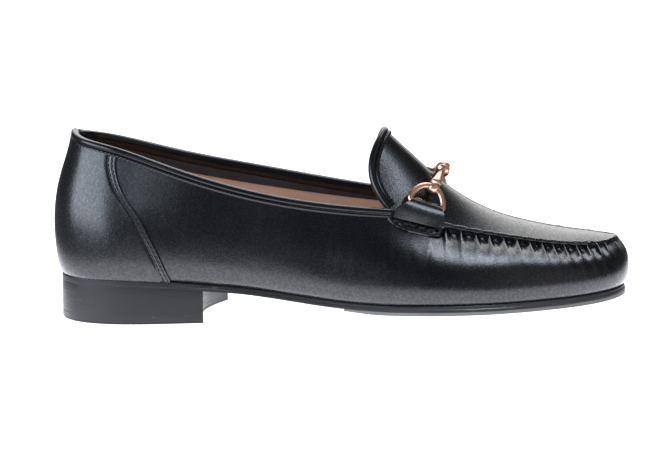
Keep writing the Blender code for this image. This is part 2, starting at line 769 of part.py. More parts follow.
def make_tab(side, name):
    """A leather tab: sewn down below the seam, carried up over it and folded round the ring's wire."""
    columns, fold_steps = 7, 7
    middle, forward, up, out = ring_frame(side)
    fold_inner = WIRE + GAP

    def place(column, row):
        across = column / columns
        if row < len(TAB_ROWS):
            tab = TAB_ROWS[row]
            point, normal = on_upper(side, tab.left * (1 - across) + tab.right * across, tab.above)
            return point + normal * (TAB_LIFT + tab.lift)
        turn = FOLD_FROM + (FOLD_TO - FOLD_FROM) * (row - len(TAB_ROWS)) / fold_steps
        wire = middle + forward * FOLD_HALF * (2.0 * across - 1.0)
        return wire + fold_inner * (math.cos(turn) * up + math.sin(turn) * out)

    bm = mapped_grid(columns, len(TAB_ROWS) + fold_steps, place)
    return shell(name, bm, black_calf, TAB_THICK, outward=True, towards=(0, side, 0))


def wire_object(name, points, radius, finish, closed):
    """A round wire along points, as a curve with a bevel."""
    curve = bpy.data.curves.new(name, "CURVE")
    curve.dimensions = "3D"
    curve.bevel_depth = radius * MM
    curve.bevel_resolution = 2
    curve.use_fill_caps = True
    spline = curve.splines.new("POLY")
    spline.points.add(len(points) - 1)
    for spot, point in zip(spline.points, points):
        spot.co = (*(Vector(point) * MM), 1.0)
    spline.use_cyclic_u = closed
    return add_object(name, curve, finish)


def make_ring(side, name):
    """A half ring of wire: a round arch over a straight run that lies in the tab's fold."""
    arch, straight = 18, 5
    middle, forward, _, _ = ring_frame(side)
    points = [ring_point(side, math.pi * k / arch)[0] for k in range(arch + 1)]
    for k in range(1, straight):
        points.append(middle + RING_RADIUS * (2.0 * k / straight - 1.0) * forward)
    return wire_object(name, points, WIRE, rose_gold, closed=True)


def turned(name, profile_points, start, end, finish):
    """A turned piece: its (distance along, radius) profile spun round the line from start to end."""
    bm = bmesh.new()
    previous = None
    for distance, radius in reversed(profile_points):
        vertex = bm.verts.new((radius * MM, 0.0, distance * MM))
        if previous is not None:
            bm.edges.new((previous, vertex))
        previous = vertex
    mesh = bpy.data.meshes.new(name)
    bm.to_mesh(mesh)
    bm.free()
    made = add_object(name, mesh, finish)
    spin = made.modifiers.new("turn", "SCREW")
    spin.axis = "Z"
    spin.steps = TURN_STEPS
    spin.render_steps = TURN_STEPS
    spin.use_merge_vertices = True
    spin.merge_threshold = MERGE_WITHIN * MM
    axis = Vector(end) - Vector(start)
    made.matrix_local = Matrix.Translation(Vector(start) * MM) @ axis.to_track_quat("Z", "Y").to_matrix().to_4x4()
    return made


def bar_ends(side):
    """The bar's eye on its ring, its direction, and its other end beside the middle link."""
    eye, _ = ring_point(side, EYE_ANGLE)
    centre = np.array(BIT_MIDDLE)
    way = centre - eye
    way /= np.linalg.norm(way)
    return eye, way, centre - way * (LINK_LENGTH / 2.0 + GAP)


def make_bar(side, name):
    """A turned bar with a flared bell, fused to an eye that the ring's wire runs through."""
    eye, way, bell = bar_ends(side)
    hole = WIRE + GAP
    start = eye + way * (hole + EYE_WIRE)
    length = float(np.linalg.norm(bell - start))
    shape = [(row.distance if row.end == "eye" else length - row.distance, row.radius) for row in BAR_ROWS]
    bar = turned(name, shape, start, bell, rose_gold)
    _, wire_way = ring_point(side, EYE_ANGLE)
    bpy.ops.mesh.primitive_torus_add(major_radius=(hole + EYE_WIRE) * MM, minor_radius=EYE_WIRE * MM,
                                     major_segments=16, minor_segments=6)
    loop = bpy.context.object
    loop.name = name + "_eye"
    for holder in list(loop.users_collection):
        holder.objects.unlink(loop)
    cutters.objects.link(loop)
    loop.parent = stand
    turn = Vector(wire_way).to_track_quat("Z", "Y").to_matrix().to_4x4()
    loop.matrix_local = Matrix.Translation(Vector(eye) * MM) @ turn
    loop.hide_render = True
    loop.display_type = "WIRE"
    join = bar.modifiers.new("eye", "BOOLEAN")
    join.operation = "UNION"
    join.object = loop
    return bar


def make_link():
    """The bead that joins the two bells."""
    _, _, near = bar_ends(LATERAL)
    _, _, far = bar_ends(MEDIAL)
    centre = np.array(BIT_MIDDLE)
    half = LINK_LENGTH / 2.0
    shoulder = 0.8
    shape = [(-half, 0.0), (-half, LINK_END), (-shoulder, LINK_RADIUS), (shoulder, LINK_RADIUS),
             (half, LINK_END), (half, 0.0)]
    way = (far - near) / np.linalg.norm(far - near)
    return turned("bit_link", shape, centre, centre + way, rose_gold)


def centre_on_floor():
    """Moves the whole shoe so that the middle of its footprint is the origin."""
    bpy.context.view_layer.update()
    graph = bpy.context.evaluated_depsgraph_get()
    corners = []
    for piece in shoe.objects:
        if piece.type == "EMPTY":
            continue
        seen = piece.evaluated_get(graph)
        corners += [seen.matrix_world @ vertex.co for vertex in seen.to_mesh().vertices]
        seen.to_mesh_clear()
    low = [min(corner[axis] for corner in corners) for axis in range(3)]
    high = [max(corner[axis] for corner in corners) for axis in range(3)]
    stand.location = (-(low[0] + high[0]) / 2.0, -(low[1] + high[1]) / 2.0, -low[2])


for leftover in list(bpy.data.objects):
    bpy.data.objects.remove(leftover)

shoe = bpy.data.collections.new("loafer")
cutters = bpy.data.collections.new("cutters")
bpy.context.scene.collection.children.link(shoe)
bpy.context.scene.collection.children.link(cutters)
stand = bpy.data.objects.new("stand", None)
shoe.objects.link(stand)

black_calf = material("black_calf", (0.012, 0.012, 0.014), 0.32)
black_edge = material("black_edge", (0.010, 0.010, 0.011), 0.42)
tread_grey = material("tread_grey", (0.42, 0.41, 0.40), 0.75)
tan_leather = material("tan_leather", (0.42, 0.24, 0.15), 0.55)
rose_gold = material("rose_gold", (0.80, 0.47, 0.33), 0.20, metallic=1.0)

make_outsole()
make_half_sole()
make_heel()
make_insole()
make_upper()
make_counter()
make_collar_binding()
make_tongue_binding()
for foot_side, side_name in ((LATERAL, "lateral"), (MEDIAL, "medial")):
    make_tab(foot_side, "tab_" + side_name)
    make_ring(foot_side, "bit_ring_" + side_name)
    make_bar(foot_side, "bit_bar_" + side_name)
make_link()
centre_on_floor()
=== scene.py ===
# %% [markdown]
# # A bit loafer in black calf
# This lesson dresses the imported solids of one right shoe: a gathered moccasin toe, an upstanding tongue,
# a bound collar, and a metal bit held by two leather tabs. The solids fix every size and place. Here each
# one is replaced by a finer piece in the same place, with the stitches, pleats and finishes of the real shoe.

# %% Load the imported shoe
import json
import math
from collections import namedtuple

import bpy
import numpy as np
from mathutils import Matrix, Vector


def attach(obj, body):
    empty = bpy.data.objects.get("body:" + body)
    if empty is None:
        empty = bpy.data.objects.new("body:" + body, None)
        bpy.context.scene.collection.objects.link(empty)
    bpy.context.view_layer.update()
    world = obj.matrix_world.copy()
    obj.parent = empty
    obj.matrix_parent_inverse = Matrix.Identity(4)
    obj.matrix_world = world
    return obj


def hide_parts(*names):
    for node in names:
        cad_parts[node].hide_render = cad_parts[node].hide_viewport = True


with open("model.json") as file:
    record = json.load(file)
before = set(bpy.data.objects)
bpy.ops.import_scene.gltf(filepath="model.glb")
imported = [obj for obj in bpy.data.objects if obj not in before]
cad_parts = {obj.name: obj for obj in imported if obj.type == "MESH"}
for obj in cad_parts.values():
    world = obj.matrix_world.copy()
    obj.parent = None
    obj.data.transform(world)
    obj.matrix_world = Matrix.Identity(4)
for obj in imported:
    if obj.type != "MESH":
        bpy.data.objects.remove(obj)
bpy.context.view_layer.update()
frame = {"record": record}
bpy.ops.object.select_all(action="DESELECT")

MM = 0.001
HEEL_REST = np.array((36.0, 0.0, 0.0))    # the heel's mount, in the shoe's own millimetres
mounts = {mount["name"]: mount for mount in frame["record"]["mounts"]}
ORIGIN = np.array(mounts["heel_rest"]["pos_m"]) - HEEL_REST * MM


def to_row(points):
    """The shoe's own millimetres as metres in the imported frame."""
    return np.asarray(points, dtype=float) * MM + ORIGIN


# %% [markdown]
# ## The camera
# The photograph was taken with a long lens, a little above the shoe and almost square to its outer side.
# The camera looks at a point inside the shoe, is rolled by a degree or so, and is shifted by a few pixels
# so that this point falls where the photograph has it.

# %% Place the camera
PICTURE_WIDE = 665
PICTURE_HIGH = 454
AIM = (130.3, 0.0, 37.7)
CAMERA_AT = (171.2, -1172.3, 230.7)
CAMERA_ROLL = math.radians(-1.6)
PIXELS_PER_MM = 2.2
AIM_PIXEL = (343.0, 226.0)
SENSOR = 36.0

aim = Vector(to_row(AIM))
lens_at = Vector(to_row(CAMERA_AT))
looking = (aim - lens_at).normalized()
level_right = looking.cross(Vector((0.0, 0.0, 1.0))).normalized()
level_up = level_right.cross(looking)
right = level_right * math.cos(CAMERA_ROLL) + level_up * math.sin(CAMERA_ROLL)
up = level_up * math.cos(CAMERA_ROLL) - level_right * math.sin(CAMERA_ROLL)

bpy.ops.object.camera_add()
camera = bpy.context.object
camera.matrix_world = Matrix.Translation(lens_at) @ Matrix((right, up, -looking)).transposed().to_4x4()
camera.data.sensor_width = SENSOR
camera.data.lens = SENSOR * (aim - lens_at).length / (PICTURE_WIDE / PIXELS_PER_MM * MM)
camera.data.shift_x = (PICTURE_WIDE / 2.0 - AIM_PIXEL[0]) / PICTURE_WIDE
camera.data.shift_y = (AIM_PIXEL[1] - PICTURE_HIGH / 2.0) / PICTURE_WIDE
camera.data.clip_end = 20.0
bpy.context.scene.camera = camera
print("lens", round(camera.data.lens, 1), "mm")

# %% [markdown]
# ## Light and floor
# Black calf shows little of its own colour: what we see is the studio mirrored softly in it. The photograph
# has a white sweep behind and below, and a dark room in front. So the sky changes smoothly from white behind
# to dark in front, and three softboxes stand above, to the left, and close to the quarter. A table that only
# mirrors see gives the light from below. Later cells add lights that shine on one piece alone.

# %% Nodes for the studio and the finishes
def add_node(tree, kind, values=None, feeds=None, **settings):
    """A new node with its settings, the values of its sockets and the outputs that feed them."""
    node = tree.nodes.new(kind)
    for name, value in settings.items():
        setattr(node, name, value)
    for socket, value in (values or {}).items():
        node.inputs[socket].default_value = value
    for socket, source in (feeds or {}).items():
        tree.links.new(source, node.inputs[socket])
    return node


def map_range(tree, source, low, high, to_low=0.0, to_high=1.0, smooth=True):
    """A value stretched from one range to another, without going past its ends."""
    ends = {"From Min": low, "From Max": high, "To Min": to_low, "To Max": to_high}
    node = add_node(tree, "ShaderNodeMapRange", ends, {"Value": source}, clamp=True,
                    interpolation_type="SMOOTHSTEP" if smooth else "LINEAR")
    return node.outputs["Result"]


def multiply(tree, first, *others):
    """The product of several values."""
    for other in others:
        first = add_node(tree, "ShaderNodeMath", feeds={0: first, 1: other}, operation="MULTIPLY").outputs[0]
    return first


def new_paint(name, values):
    """A material with constant values on its shader; gives the material, its nodes and the shader."""
    paint = bpy.data.materials.new(name)
    paint.use_nodes = True
    shader = paint.node_tree.nodes["Principled BSDF"]
    for socket, value in values.items():
        shader.inputs[socket].default_value = value
    return paint, paint.node_tree, shader


def two_tones(tree, shader, mask, dark, light):
    """A base colour that changes from dark to light with a mask."""
    tones = add_node(tree, "ShaderNodeMix", {"A": (*dark, 1.0), "B": (*light, 1.0)}, {"Factor": mask},
                     data_type="RGBA")
    tree.links.new(tones.outputs["Result"], shader.inputs["Base Color"])


# %% Build the studio
SKY_BRIGHT, SKY_DARK, SKY_TOE_SIDE = 2.8, 0.06, 0.35
WHITE, COOL_WHITE = (1.0, 1.0, 1.0, 1.0), (0.78, 0.87, 1.0)
FLOOR_SIZE, FLOOR_GLOW = 9.0, 1.0
FLOOR_DARK, FLOOR_LIGHT = (0.86, 0.86, 0.86), (0.90, 0.90, 0.895)
TABLE_ABOVE_FLOOR = 0.001
# How bright the table is beside the shoe and further off, and over what distance it fades
TABLE_NEAR, TABLE_FAR, TABLE_REACH = 2.9, 0.12, 0.31
SHOE_HALF, TABLE_STRETCH, NOTHING = (0.12, 0.035, 0.0), (2.0, 1.0, 1.0), (0.0, 0.0, 0.0)
TABLE_TINT = (0.975, 0.985, 1.08)

world = bpy.data.worlds.new("studio")
world.use_nodes = True
bpy.context.scene.world = world
sky = world.node_tree
direction = add_node(sky, "ShaderNodeTexCoord").outputs["Generated"]
sky_x, sky_y, sky_z = add_node(sky, "ShaderNodeSeparateXYZ", feeds={"Vector": direction}).outputs

# The white sweep behind the shoe, fading to both sides, overhead and at the floor
behind = map_range(sky, sky_y, 0.15, 0.6)
left_end = map_range(sky, sky_x, -0.62, -0.25)
right_end = map_range(sky, sky_x, 0.38, 0.62, 1.0, 0.0)
above_floor = map_range(sky, sky_z, 0.05, 0.40)
overhead = map_range(sky, sky_z, 0.74, 0.88, 1.0, 0.30)
sweep = multiply(sky, behind, left_end, right_end, above_floor, overhead)
# The dark room in front, a little lighter on the toe's side
toe_side = map_range(sky, sky_x, 0.0, 0.5)
front = map_range(sky, sky_y, -0.3, 0.1, 1.0, 0.0)
room = map_range(sky, multiply(sky, toe_side, front), 0.0, 1.0, SKY_DARK, SKY_TOE_SIDE, smooth=False)
strength = add_node(sky, "ShaderNodeMath", {1: SKY_BRIGHT}, {0: sweep, 2: room}, operation="MULTIPLY_ADD")
sky.nodes["Background"].inputs["Color"].default_value = WHITE
sky.links.new(strength.outputs[0], sky.nodes["Background"].inputs["Strength"])


def softbox(name, place, target, wide, high, brightness, only=None):
    """An area light with a given brightness of its face, turned to a point; it may light one piece only."""
    bpy.ops.object.light_add(type="AREA", location=place)
    lamp = bpy.context.object
    lamp.name = name
    lamp.data.shape = "RECTANGLE"
    lamp.data.size, lamp.data.size_y = wide, high
    lamp.data.energy = math.pi * wide * high * brightness
    lamp.data.color = COOL_WHITE
    lamp.rotation_euler = (Vector(target) - Vector(place)).to_track_quat("-Z", "Y").to_euler()
    if only:
        lit = bpy.data.collections.new("lit_by_" + name)
        lit.objects.link(only)
        lamp.light_linking.receiver_collection = lit
    return lamp


softbox("top_light", (0.28, 0.25, 1.3), (0.05, 0.25, 0.03), 0.45, 0.21, 11.0)
softbox("left_light", (-1.194, -0.614, 0.46), (-0.09, 0.0, 0.05), 1.32, 0.85, 6.0)
quarter_light = softbox("quarter_light", (-0.135, -0.21, 0.135), (-0.0875, -0.027, 0.062), 0.05, 0.05, 2.6)
quarter_light.visible_camera = False

bpy.ops.mesh.primitive_plane_add(size=FLOOR_SIZE)
floor = bpy.context.object
floor.name = "floor"
floor_paint, paint, paint_shader = new_paint("white_sweep", {
    "Roughness": 0.9, "Specular IOR Level": 0.1, "Emission Color": WHITE, "Emission Strength": FLOOR_GLOW})
floor_place = add_node(paint, "ShaderNodeTexCoord").outputs["Object"]
cloud = add_node(paint, "ShaderNodeTexNoise", {"Scale": 3.0, "Detail": 2.0}, {"Vector": floor_place})
two_tones(paint, paint_shader, cloud.outputs["Fac"], FLOOR_DARK, FLOOR_LIGHT)
floor.data.materials.append(floor_paint)

# What the leather mirrors of the table: white beside the shoe and darker further off
bpy.ops.mesh.primitive_plane_add(size=FLOOR_SIZE, location=(0.0, 0.0, TABLE_ABOVE_FLOOR))
table = bpy.context.object
table.name = "mirrored_table"
table_paint, table_tree, table_shader = new_paint("mirrored_table", {
    "Base Color": (0.012, 0.012, 0.012, 1.0), "Specular IOR Level": 0.0, "Emission Strength": 1.0})
past_shoe = add_node(table_tree, "ShaderNodeTexCoord").outputs["Object"]
for operation, other in (("ABSOLUTE", NOTHING), ("SUBTRACT", SHOE_HALF), ("MAXIMUM", NOTHING),
                         ("MULTIPLY", TABLE_STRETCH)):
    step = add_node(table_tree, "ShaderNodeVectorMath", {1: other}, {0: past_shoe}, operation=operation)
    past_shoe = step.outputs["Vector"]
far_off = add_node(table_tree, "ShaderNodeVectorMath", feeds={0: past_shoe}, operation="LENGTH")
glow = map_range(table_tree, far_off.outputs["Value"], 0.0, TABLE_REACH, TABLE_NEAR, TABLE_FAR)
tinted = add_node(table_tree, "ShaderNodeVectorMath", {0: TABLE_TINT}, {"Scale": glow}, operation="SCALE")
table_tree.links.new(tinted.outputs["Vector"], table_shader.inputs["Emission Color"])
table.data.materials.append(table_paint)
table.visible_camera = False
table.visible_diffuse = False
table.visible_shadow = False
bpy.context.scene.view_settings.view_transform = "Standard"
print("floor of", FLOOR_SIZE, "m and three softboxes")

# %% [markdown]
# ## The last, as tables
# Shoes are built on a last. Its form is kept in four short tables: the widest line of the upper, the top
# line (collar, then apron seam), the sole's underside, and the middle line over the instep. A place on a
# ring is its u, from 0 at the heel's back to 1 at the toe, on the lateral (-1) or the medial (+1) side.
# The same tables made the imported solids, so everything below lies where they are.

# %% Tables of the last
LATERAL, MEDIAL = -1, 1
LENGTH = 260.0
WALL = 1.8
SOLE_THICK = 3.0
HALF_SOLE_THICK = 1.2
INSOLE_THICK = 1.4
TOE_SWING = 4.5
SOLE_BACK, SOLE_TIP = 1.6, 258.4
FEATHER_IN = 2.0
COLLAR_BACK, SEAM_TIP = 9.5, 254.5
THROAT = 0.555
TOE_CORNER = 0.86
TONGUE_TOP_X = 150.4
TONGUE_BULGE_LATERAL, TONGUE_BULGE_MEDIAL = 7.4, 5.0
TONGUE_FADE = 4
MIDDLE_MARGIN = 24.0

Belly = namedtuple("Belly", "u lateral medial height sole_in_lateral sole_in_medial")
BELLY = (
    Belly(0.0, 57.0, 57.0, 40.0, 2.2, 2.2),
    Belly(0.1, 56.6, 56.6, 37.0, 2.2, 2.2),
    Belly(0.2, 49.3, 48.5, 31.5, 2.4, 2.4),
    Belly(0.3, 39.6, 37.7, 29.0, 2.9, 3.4),
    Belly(0.4, 35.2, 30.5, 24.0, 4.2, 6.2),
    Belly(0.5, 40.0, 33.0, 16.5, 3.4, 5.4),
    Belly(0.6, 49.4, 42.6, 15.0, 1.7, 2.4),
    Belly(0.7, 55.1, 52.4, 14.5, 1.4, 1.6),
    Belly(0.8, 55.2, 57.1, 14.5, 1.4, 1.4),
    Belly(0.9, 55.1, 58.2, 15.5, 1.4, 1.4),
    Belly(1.0, 55.0, 58.0, 16.5, 1.4, 1.4),
)
Top = namedtuple("Top", "u lateral medial height_lateral height_medial")
TOP = (
    Top(0.0, 46.0, 46.0, 84.6, 84.6),
    Top(0.1, 45.3, 45.3, 81.6, 81.6),
    Top(0.2, 37.4, 37.4, 77.3, 76.9),
    Top(0.3, 32.1, 32.1, 67.7, 69.2),
    Top(0.4, 28.9, 28.7, 57.4, 61.7),
    Top(0.5, 27.0, 26.8, 50.6, 54.2),
    Top(THROAT, 26.0, 25.3, 48.4, 50.6),
    Top(0.6, 24.4, 23.6, 42.6, 44.6),
    Top(0.7, 25.8, 24.6, 34.5, 35.4),
    Top(0.8, 30.4, 30.2, 30.0, 30.8),
    Top(0.9, 31.0, 37.6, 29.0, 29.8),
    Top(1.0, 31.0, 39.0, 30.0, 30.0),
)
Bottom = namedtuple("Bottom", "x under crown")
BOTTOM = (
    Bottom(0.0, 17.3, 0.0),
    Bottom(25.0, 17.2, 0.0),
    Bottom(50.0, 16.0, 0.0),
    Bottom(71.0, 14.0, 0.0),
    Bottom(84.0, 12.6, 0.2),
    Bottom(97.0, 10.5, 0.5),
    Bottom(111.0, 7.9, 1.0),
    Bottom(124.0, 5.4, 1.8),
    Bottom(138.0, 3.2, 2.8),
    Bottom(152.0, 1.9, 3.6),
    Bottom(163.0, 1.5, 4.0),
    Bottom(190.0, 1.5, 4.0),
    Bottom(205.0, 1.8, 3.7),
    Bottom(220.0, 2.4, 3.0),
    Bottom(235.0, 3.4, 1.8),
    Bottom(248.0, 4.5, 0.7),
    Bottom(260.0, 5.7, 0.0),
)
CROWN_FLAT, CROWN_POWER = 0.3, 1.6
Spine = namedtuple("Spine", "x height")
SPINE = (
    Spine(TONGUE_TOP_X, 82.0),
    Spine(155.0, 77.4),
    Spine(162.0, 70.6),
    Spine(173.0, 59.9),
    Spine(187.0, 49.3),
    Spine(201.0, 42.2),
    Spine(216.0, 37.6),
    Spine(231.0, 34.3),
    Spine(243.0, 32.3),
    Spine(SEAM_TIP, 30.0),
)


# %% [markdown]
# A table becomes a smooth curve with one slope at each of its rows. Two kinds of slopes are used: those of
# the natural spline, which bends evenly, and slopes that never overshoot, for the sole's level runs.

# %% Curves through the tables
def even_slopes(xs, ys):
    """Slopes of the natural cubic spline."""
    count = len(xs)
    step = np.diff(xs)
    rise = np.diff(ys) / step
    system = np.zeros((count, count))
    result = np.zeros(count)
    system[0, :2] = (2.0, 1.0)
    result[0] = 3.0 * rise[0]
    system[-1, -2:] = (1.0, 2.0)
    result[-1] = 3.0 * rise[-1]
    for i in range(1, count - 1):
        system[i, i - 1:i + 2] = (step[i], 2.0 * (step[i - 1] + step[i]), step[i - 1])
        result[i] = 3.0 * (rise[i - 1] * step[i] + rise[i] * step[i - 1])
    return np.linalg.solve(system, result)


def level_slopes(xs, ys):
    """Slopes that never overshoot, so that a level run stays level."""
    rise = np.diff(ys) / np.diff(xs)
    slopes = np.zeros(len(xs))
    slopes[0], slopes[-1] = rise[0], rise[-1]
    for i in range(1, len(xs) - 1):
        if rise[i - 1] * rise[i] > 0:
            slopes[i] = 2.0 * rise[i - 1] * rise[i] / (rise[i - 1] + rise[i])
    return slopes


def curves_through(rows, slopes_of=even_slopes):
    """One function for each column of a table after its first, which they all run along."""
    xs, *columns = np.array(rows).T

    def curve(ys):
        slopes = slopes_of(xs, ys)

        def at(x):
            x = np.clip(x, xs[0], xs[-1])
            i = np.clip(np.searchsorted(xs, x, side="right") - 1, 0, len(xs) - 2)
            step = xs[i + 1] - xs[i]
            t = (x - xs[i]) / step
            start = (1 + 2 * t) * (1 - t) ** 2 * ys[i] + t * (1 - t) ** 2 * step * slopes[i]
            end = t * t * (3 - 2 * t) * ys[i + 1] + t * t * (t - 1) * step * slopes[i + 1]
            return start + end

        return at

    return [curve(ys) for ys in columns]


def ease(t):
    """A smooth step from 0 to 1."""
    t = np.clip(t, 0.0, 1.0)
    return t * t * (3.0 - 2.0 * t)


def of_side(side, lateral, medial):
    return np.where(np.asarray(side) < 0, lateral, medial)


COLLAR_ROWS = [row for row in TOP if row.u <= THROAT]
SEAM_ROWS = [row for row in TOP if row.u >= THROAT]
belly_lateral, belly_medial, belly_height, sole_in_lateral, sole_in_medial = curves_through(BELLY)
top_lateral, top_medial = curves_through(TOP)[:2]
collar_height_lateral, collar_height_medial = curves_through(COLLAR_ROWS)[2:]
seam_height_lateral, seam_height_medial = curves_through(SEAM_ROWS)[2:]
sole_under, sole_crown = curves_through(BOTTOM, level_slopes)
spine_height, = curves_through(SPINE)
print("collar back", round(float(collar_height_lateral(0.0)), 1), "mm high")


# %% [markdown]
# ## The rings and the wall
# A ring's half width is its span times sin(pi u), which closes both ends in a round. The wall of the upper
# climbs from the feather line, out to the belly and in again to the top line, on two smooth arcs. All of
# this works on whole arrays of places at once, because the pieces below ask for many thousands of points.

# %% Rings of the last
def along(u, back, front):
    return back + (front - back) * (1.0 - np.cos(np.pi * u)) / 2.0


def u_at(x, back, front):
    return np.arccos(1.0 - 2.0 * np.clip((x - back) / (front - back), 0.0, 1.0)) / np.pi


def middle_y(u):
    """The ring's middle line, which swings to the medial side at the toe."""
    return TOE_SWING * ease((u - 0.5) / 0.5)


def ring_xy(u, side, back, front, span):
    return along(u, back, front), middle_y(u) + side * span * np.sin(np.pi * u)


def sole_edge(u, side, inset=0.0):
    """X and Y of the sole's outline, or of a ring a little inside it."""
    span = of_side(side, belly_lateral(u) - sole_in_lateral(u), belly_medial(u) - sole_in_medial(u)) - inset
    return ring_xy(u, side, SOLE_BACK + inset, SOLE_TIP - inset, span)


def under_height(x, y):
    """Height of the outsole's underside, with the forepart's crown across its width."""
    u = u_at(x, SOLE_BACK, SOLE_TIP)
    side = np.where(y < middle_y(u), LATERAL, MEDIAL)
    edge = np.abs(sole_edge(u, side)[1] - middle_y(u))
    across = np.minimum(np.abs(y - middle_y(u)) / np.maximum(edge, 1.0), 1.0)
    rise = np.maximum(0.0, (across - CROWN_FLAT) / (1.0 - CROWN_FLAT))
    return sole_under(x) + sole_crown(x) * rise ** CROWN_POWER


def top_point(u, side):
    """Points of the top line: the collar's edge, then the apron's seam."""
    u = np.asarray(u, dtype=float)
    x, y = ring_xy(u, side, COLLAR_BACK, SEAM_TIP, of_side(side, top_lateral(u), top_medial(u)))
    collar = of_side(side, collar_height_lateral(u), collar_height_medial(u))
    seam = of_side(side, seam_height_lateral(u), seam_height_medial(u))
    return np.stack((x, y, np.where(u <= THROAT, collar, seam)), axis=-1)


# %% The wall's sections
FOOT_HANDLE_OUT, BELLY_HANDLE_LOW, BELLY_HANDLE_HIGH = 0.6, 0.55, 0.52
COLLAR_HANDLE_OUT, COLLAR_HANDLE_DOWN = 0.30, 0.35
SEAM_HANDLE_OUT, SEAM_HANDLE_DOWN = 0.55, 0.25
ROLL_START, ROLL_END = 0.59, 0.72
PROFILE_STEPS = 110
SEAT = 0.05                 # how far the wall's foot stands off the sole
FLAT, UPRIGHT = np.array((1.0, 1.0, 0.0)), np.array((0.0, 0.0, 1.0))


def bezier(a, b, c, d, t):
    s = 1.0 - t
    return s ** 3 * a + 3 * s * s * t * b + 3 * s * t * t * c + t ** 3 * d


def walked_along(points):
    """The length walked to each point along the last but one axis."""
    steps = np.linalg.norm(np.diff(points, axis=-2), axis=-1)
    start = np.zeros(steps.shape[:-1] + (1,))
    return np.concatenate((start, np.cumsum(steps, axis=-1)), axis=-1)


def at_places(line, walked, places):
    """Points of a line at places along it, from the length walked to each of its own points."""
    return np.stack([np.interp(places, walked, line[:, axis]) for axis in range(3)], axis=-1)


def wall_sections(u, side):
    """For each place of the ring, the points up the wall and the length walked to each."""
    foot_x, foot_y = sole_edge(u, side, FEATHER_IN)
    foot = np.stack((foot_x, foot_y, under_height(foot_x, foot_y) + SOLE_THICK + SEAT), axis=-1)
    belly_x, belly_y = ring_xy(u, side, 0.0, LENGTH, of_side(side, belly_lateral(u), belly_medial(u)))
    belly = np.stack((belly_x, belly_y, belly_height(u)), axis=-1)
    top = top_point(u, side)
    roll = ease((u - ROLL_START) / (ROLL_END - ROLL_START))[:, None]
    lean = COLLAR_HANDLE_OUT * (1 - roll) + SEAM_HANDLE_OUT * roll
    drop = COLLAR_HANDLE_DOWN * (1 - roll) + SEAM_HANDLE_DOWN * roll
    lower = (foot, foot + FOOT_HANDLE_OUT * (belly - foot) * FLAT,
             belly - BELLY_HANDLE_LOW * (belly - foot) * UPRIGHT, belly)
    upper = (belly, belly + BELLY_HANDLE_HIGH * (top - belly) * UPRIGHT,
             top + lean * (belly - top) * FLAT - drop * (top - belly) * UPRIGHT, top)
    t = np.linspace(0.0, 1.0, PROFILE_STEPS + 1)[None, :, None]
    low_points = bezier(*[point[:, None, :] for point in lower], t)
    high_points = bezier(*[point[:, None, :] for point in upper], t)
    points = np.concatenate((low_points, high_points[:, 1:]), axis=1)
    return points, walked_along(points)


def down_the_wall(sections, below):
    """Points of the wall at distances below its top line: one row for all sections, or one for each."""
    points, walked = sections
    below = np.broadcast_to(below, (len(points), np.shape(below)[-1]))
    return np.stack([at_places(*section) for section in zip(points, walked, walked[:, -1:] - below)])


def full_round(lateral_u, medial_u):
    """The u and side of columns that go forward on the lateral side and back on the medial side."""
    u = np.concatenate((lateral_u, medial_u[-2:0:-1]))
    return u, np.repeat((LATERAL, MEDIAL), (len(lateral_u), len(medial_u) - 2))


def round_the_heel(front, columns):
    """The u and side of columns from the front of the lateral side round the heel to the medial side."""
    u = np.linspace(front, 0.0, columns)
    return np.concatenate((u, u[-2::-1])), np.repeat((LATERAL, MEDIAL), (columns, columns - 1))


heel_back = wall_sections(np.array([0.0]), np.array([LATERAL]))
print("wall at the heel's back", round(float(heel_back[1][0, -1]), 1), "mm up its curve")


# %% [markdown]
# ## Helpers for modelling
# Leather panels are sheets that lie on the last, so each starts as Blender's grid primitive whose points
# are then moved into place: column by column round the shoe, row by row up it.

# %% Helpers for modelling
WELD, FINE_WELD = 0.005, 0.002            # points closer than this are merged


def unit(vectors):
    return vectors / np.linalg.norm(vectors, axis=-1, keepdims=True)


def grid_normals(points, wrap=False):
    """Unit normals of a grid of points; wrap joins its last column to its first."""
    if wrap:
        across = np.roll(points, -1, axis=0) - np.roll(points, 1, axis=0)
    else:
        across = np.gradient(points, axis=0)
    return unit(np.cross(across, np.gradient(points, axis=1)))


def pick(piece):
    """Selects one object alone and makes it active."""
    bpy.ops.object.select_all(action="DESELECT")
    piece.select_set(True)
    bpy.context.view_layer.objects.active = piece


def lay_grid(name, points):
    """A grid primitive with its point (column, row) moved to points[column, row], in shoe millimetres."""
    columns, rows = points.shape[:2]
    bpy.ops.object.select_all(action="DESELECT")
    bpy.ops.mesh.primitive_grid_add(x_subdivisions=columns - 1, y_subdivisions=rows - 1, size=1.0)
    piece = bpy.context.object
    piece.name = piece.data.name = name
    flat = np.empty(len(piece.data.vertices) * 3)
    piece.data.vertices.foreach_get("co", flat)
    flat = flat.reshape(-1, 3)
    column = np.rint((flat[:, 0] + 0.5) * (columns - 1)).astype(int)
    row = np.rint((flat[:, 1] + 0.5) * (rows - 1)).astype(int)
    piece.data.vertices.foreach_set("co", to_row(points[column, row]).ravel())
    piece.data.update()
    return piece


def weld(piece, distance=WELD, outward=False, fill=False):
    """Merges meeting points; open ends may be filled, and a closed piece's faces turned outward."""
    pick(piece)
    bpy.ops.object.mode_set(mode="EDIT")
    bpy.ops.mesh.select_all(action="SELECT")
    bpy.ops.mesh.remove_doubles(threshold=distance * MM)
    if fill:
        bpy.ops.mesh.fill_holes(sides=0)
    if outward:
        bpy.ops.mesh.normals_make_consistent(inside=False)
    bpy.ops.object.mode_set(mode="OBJECT")


def join(piece, other):
    """Makes another object a part of a piece."""
    pick(piece)
    other.select_set(True)
    bpy.ops.object.join()


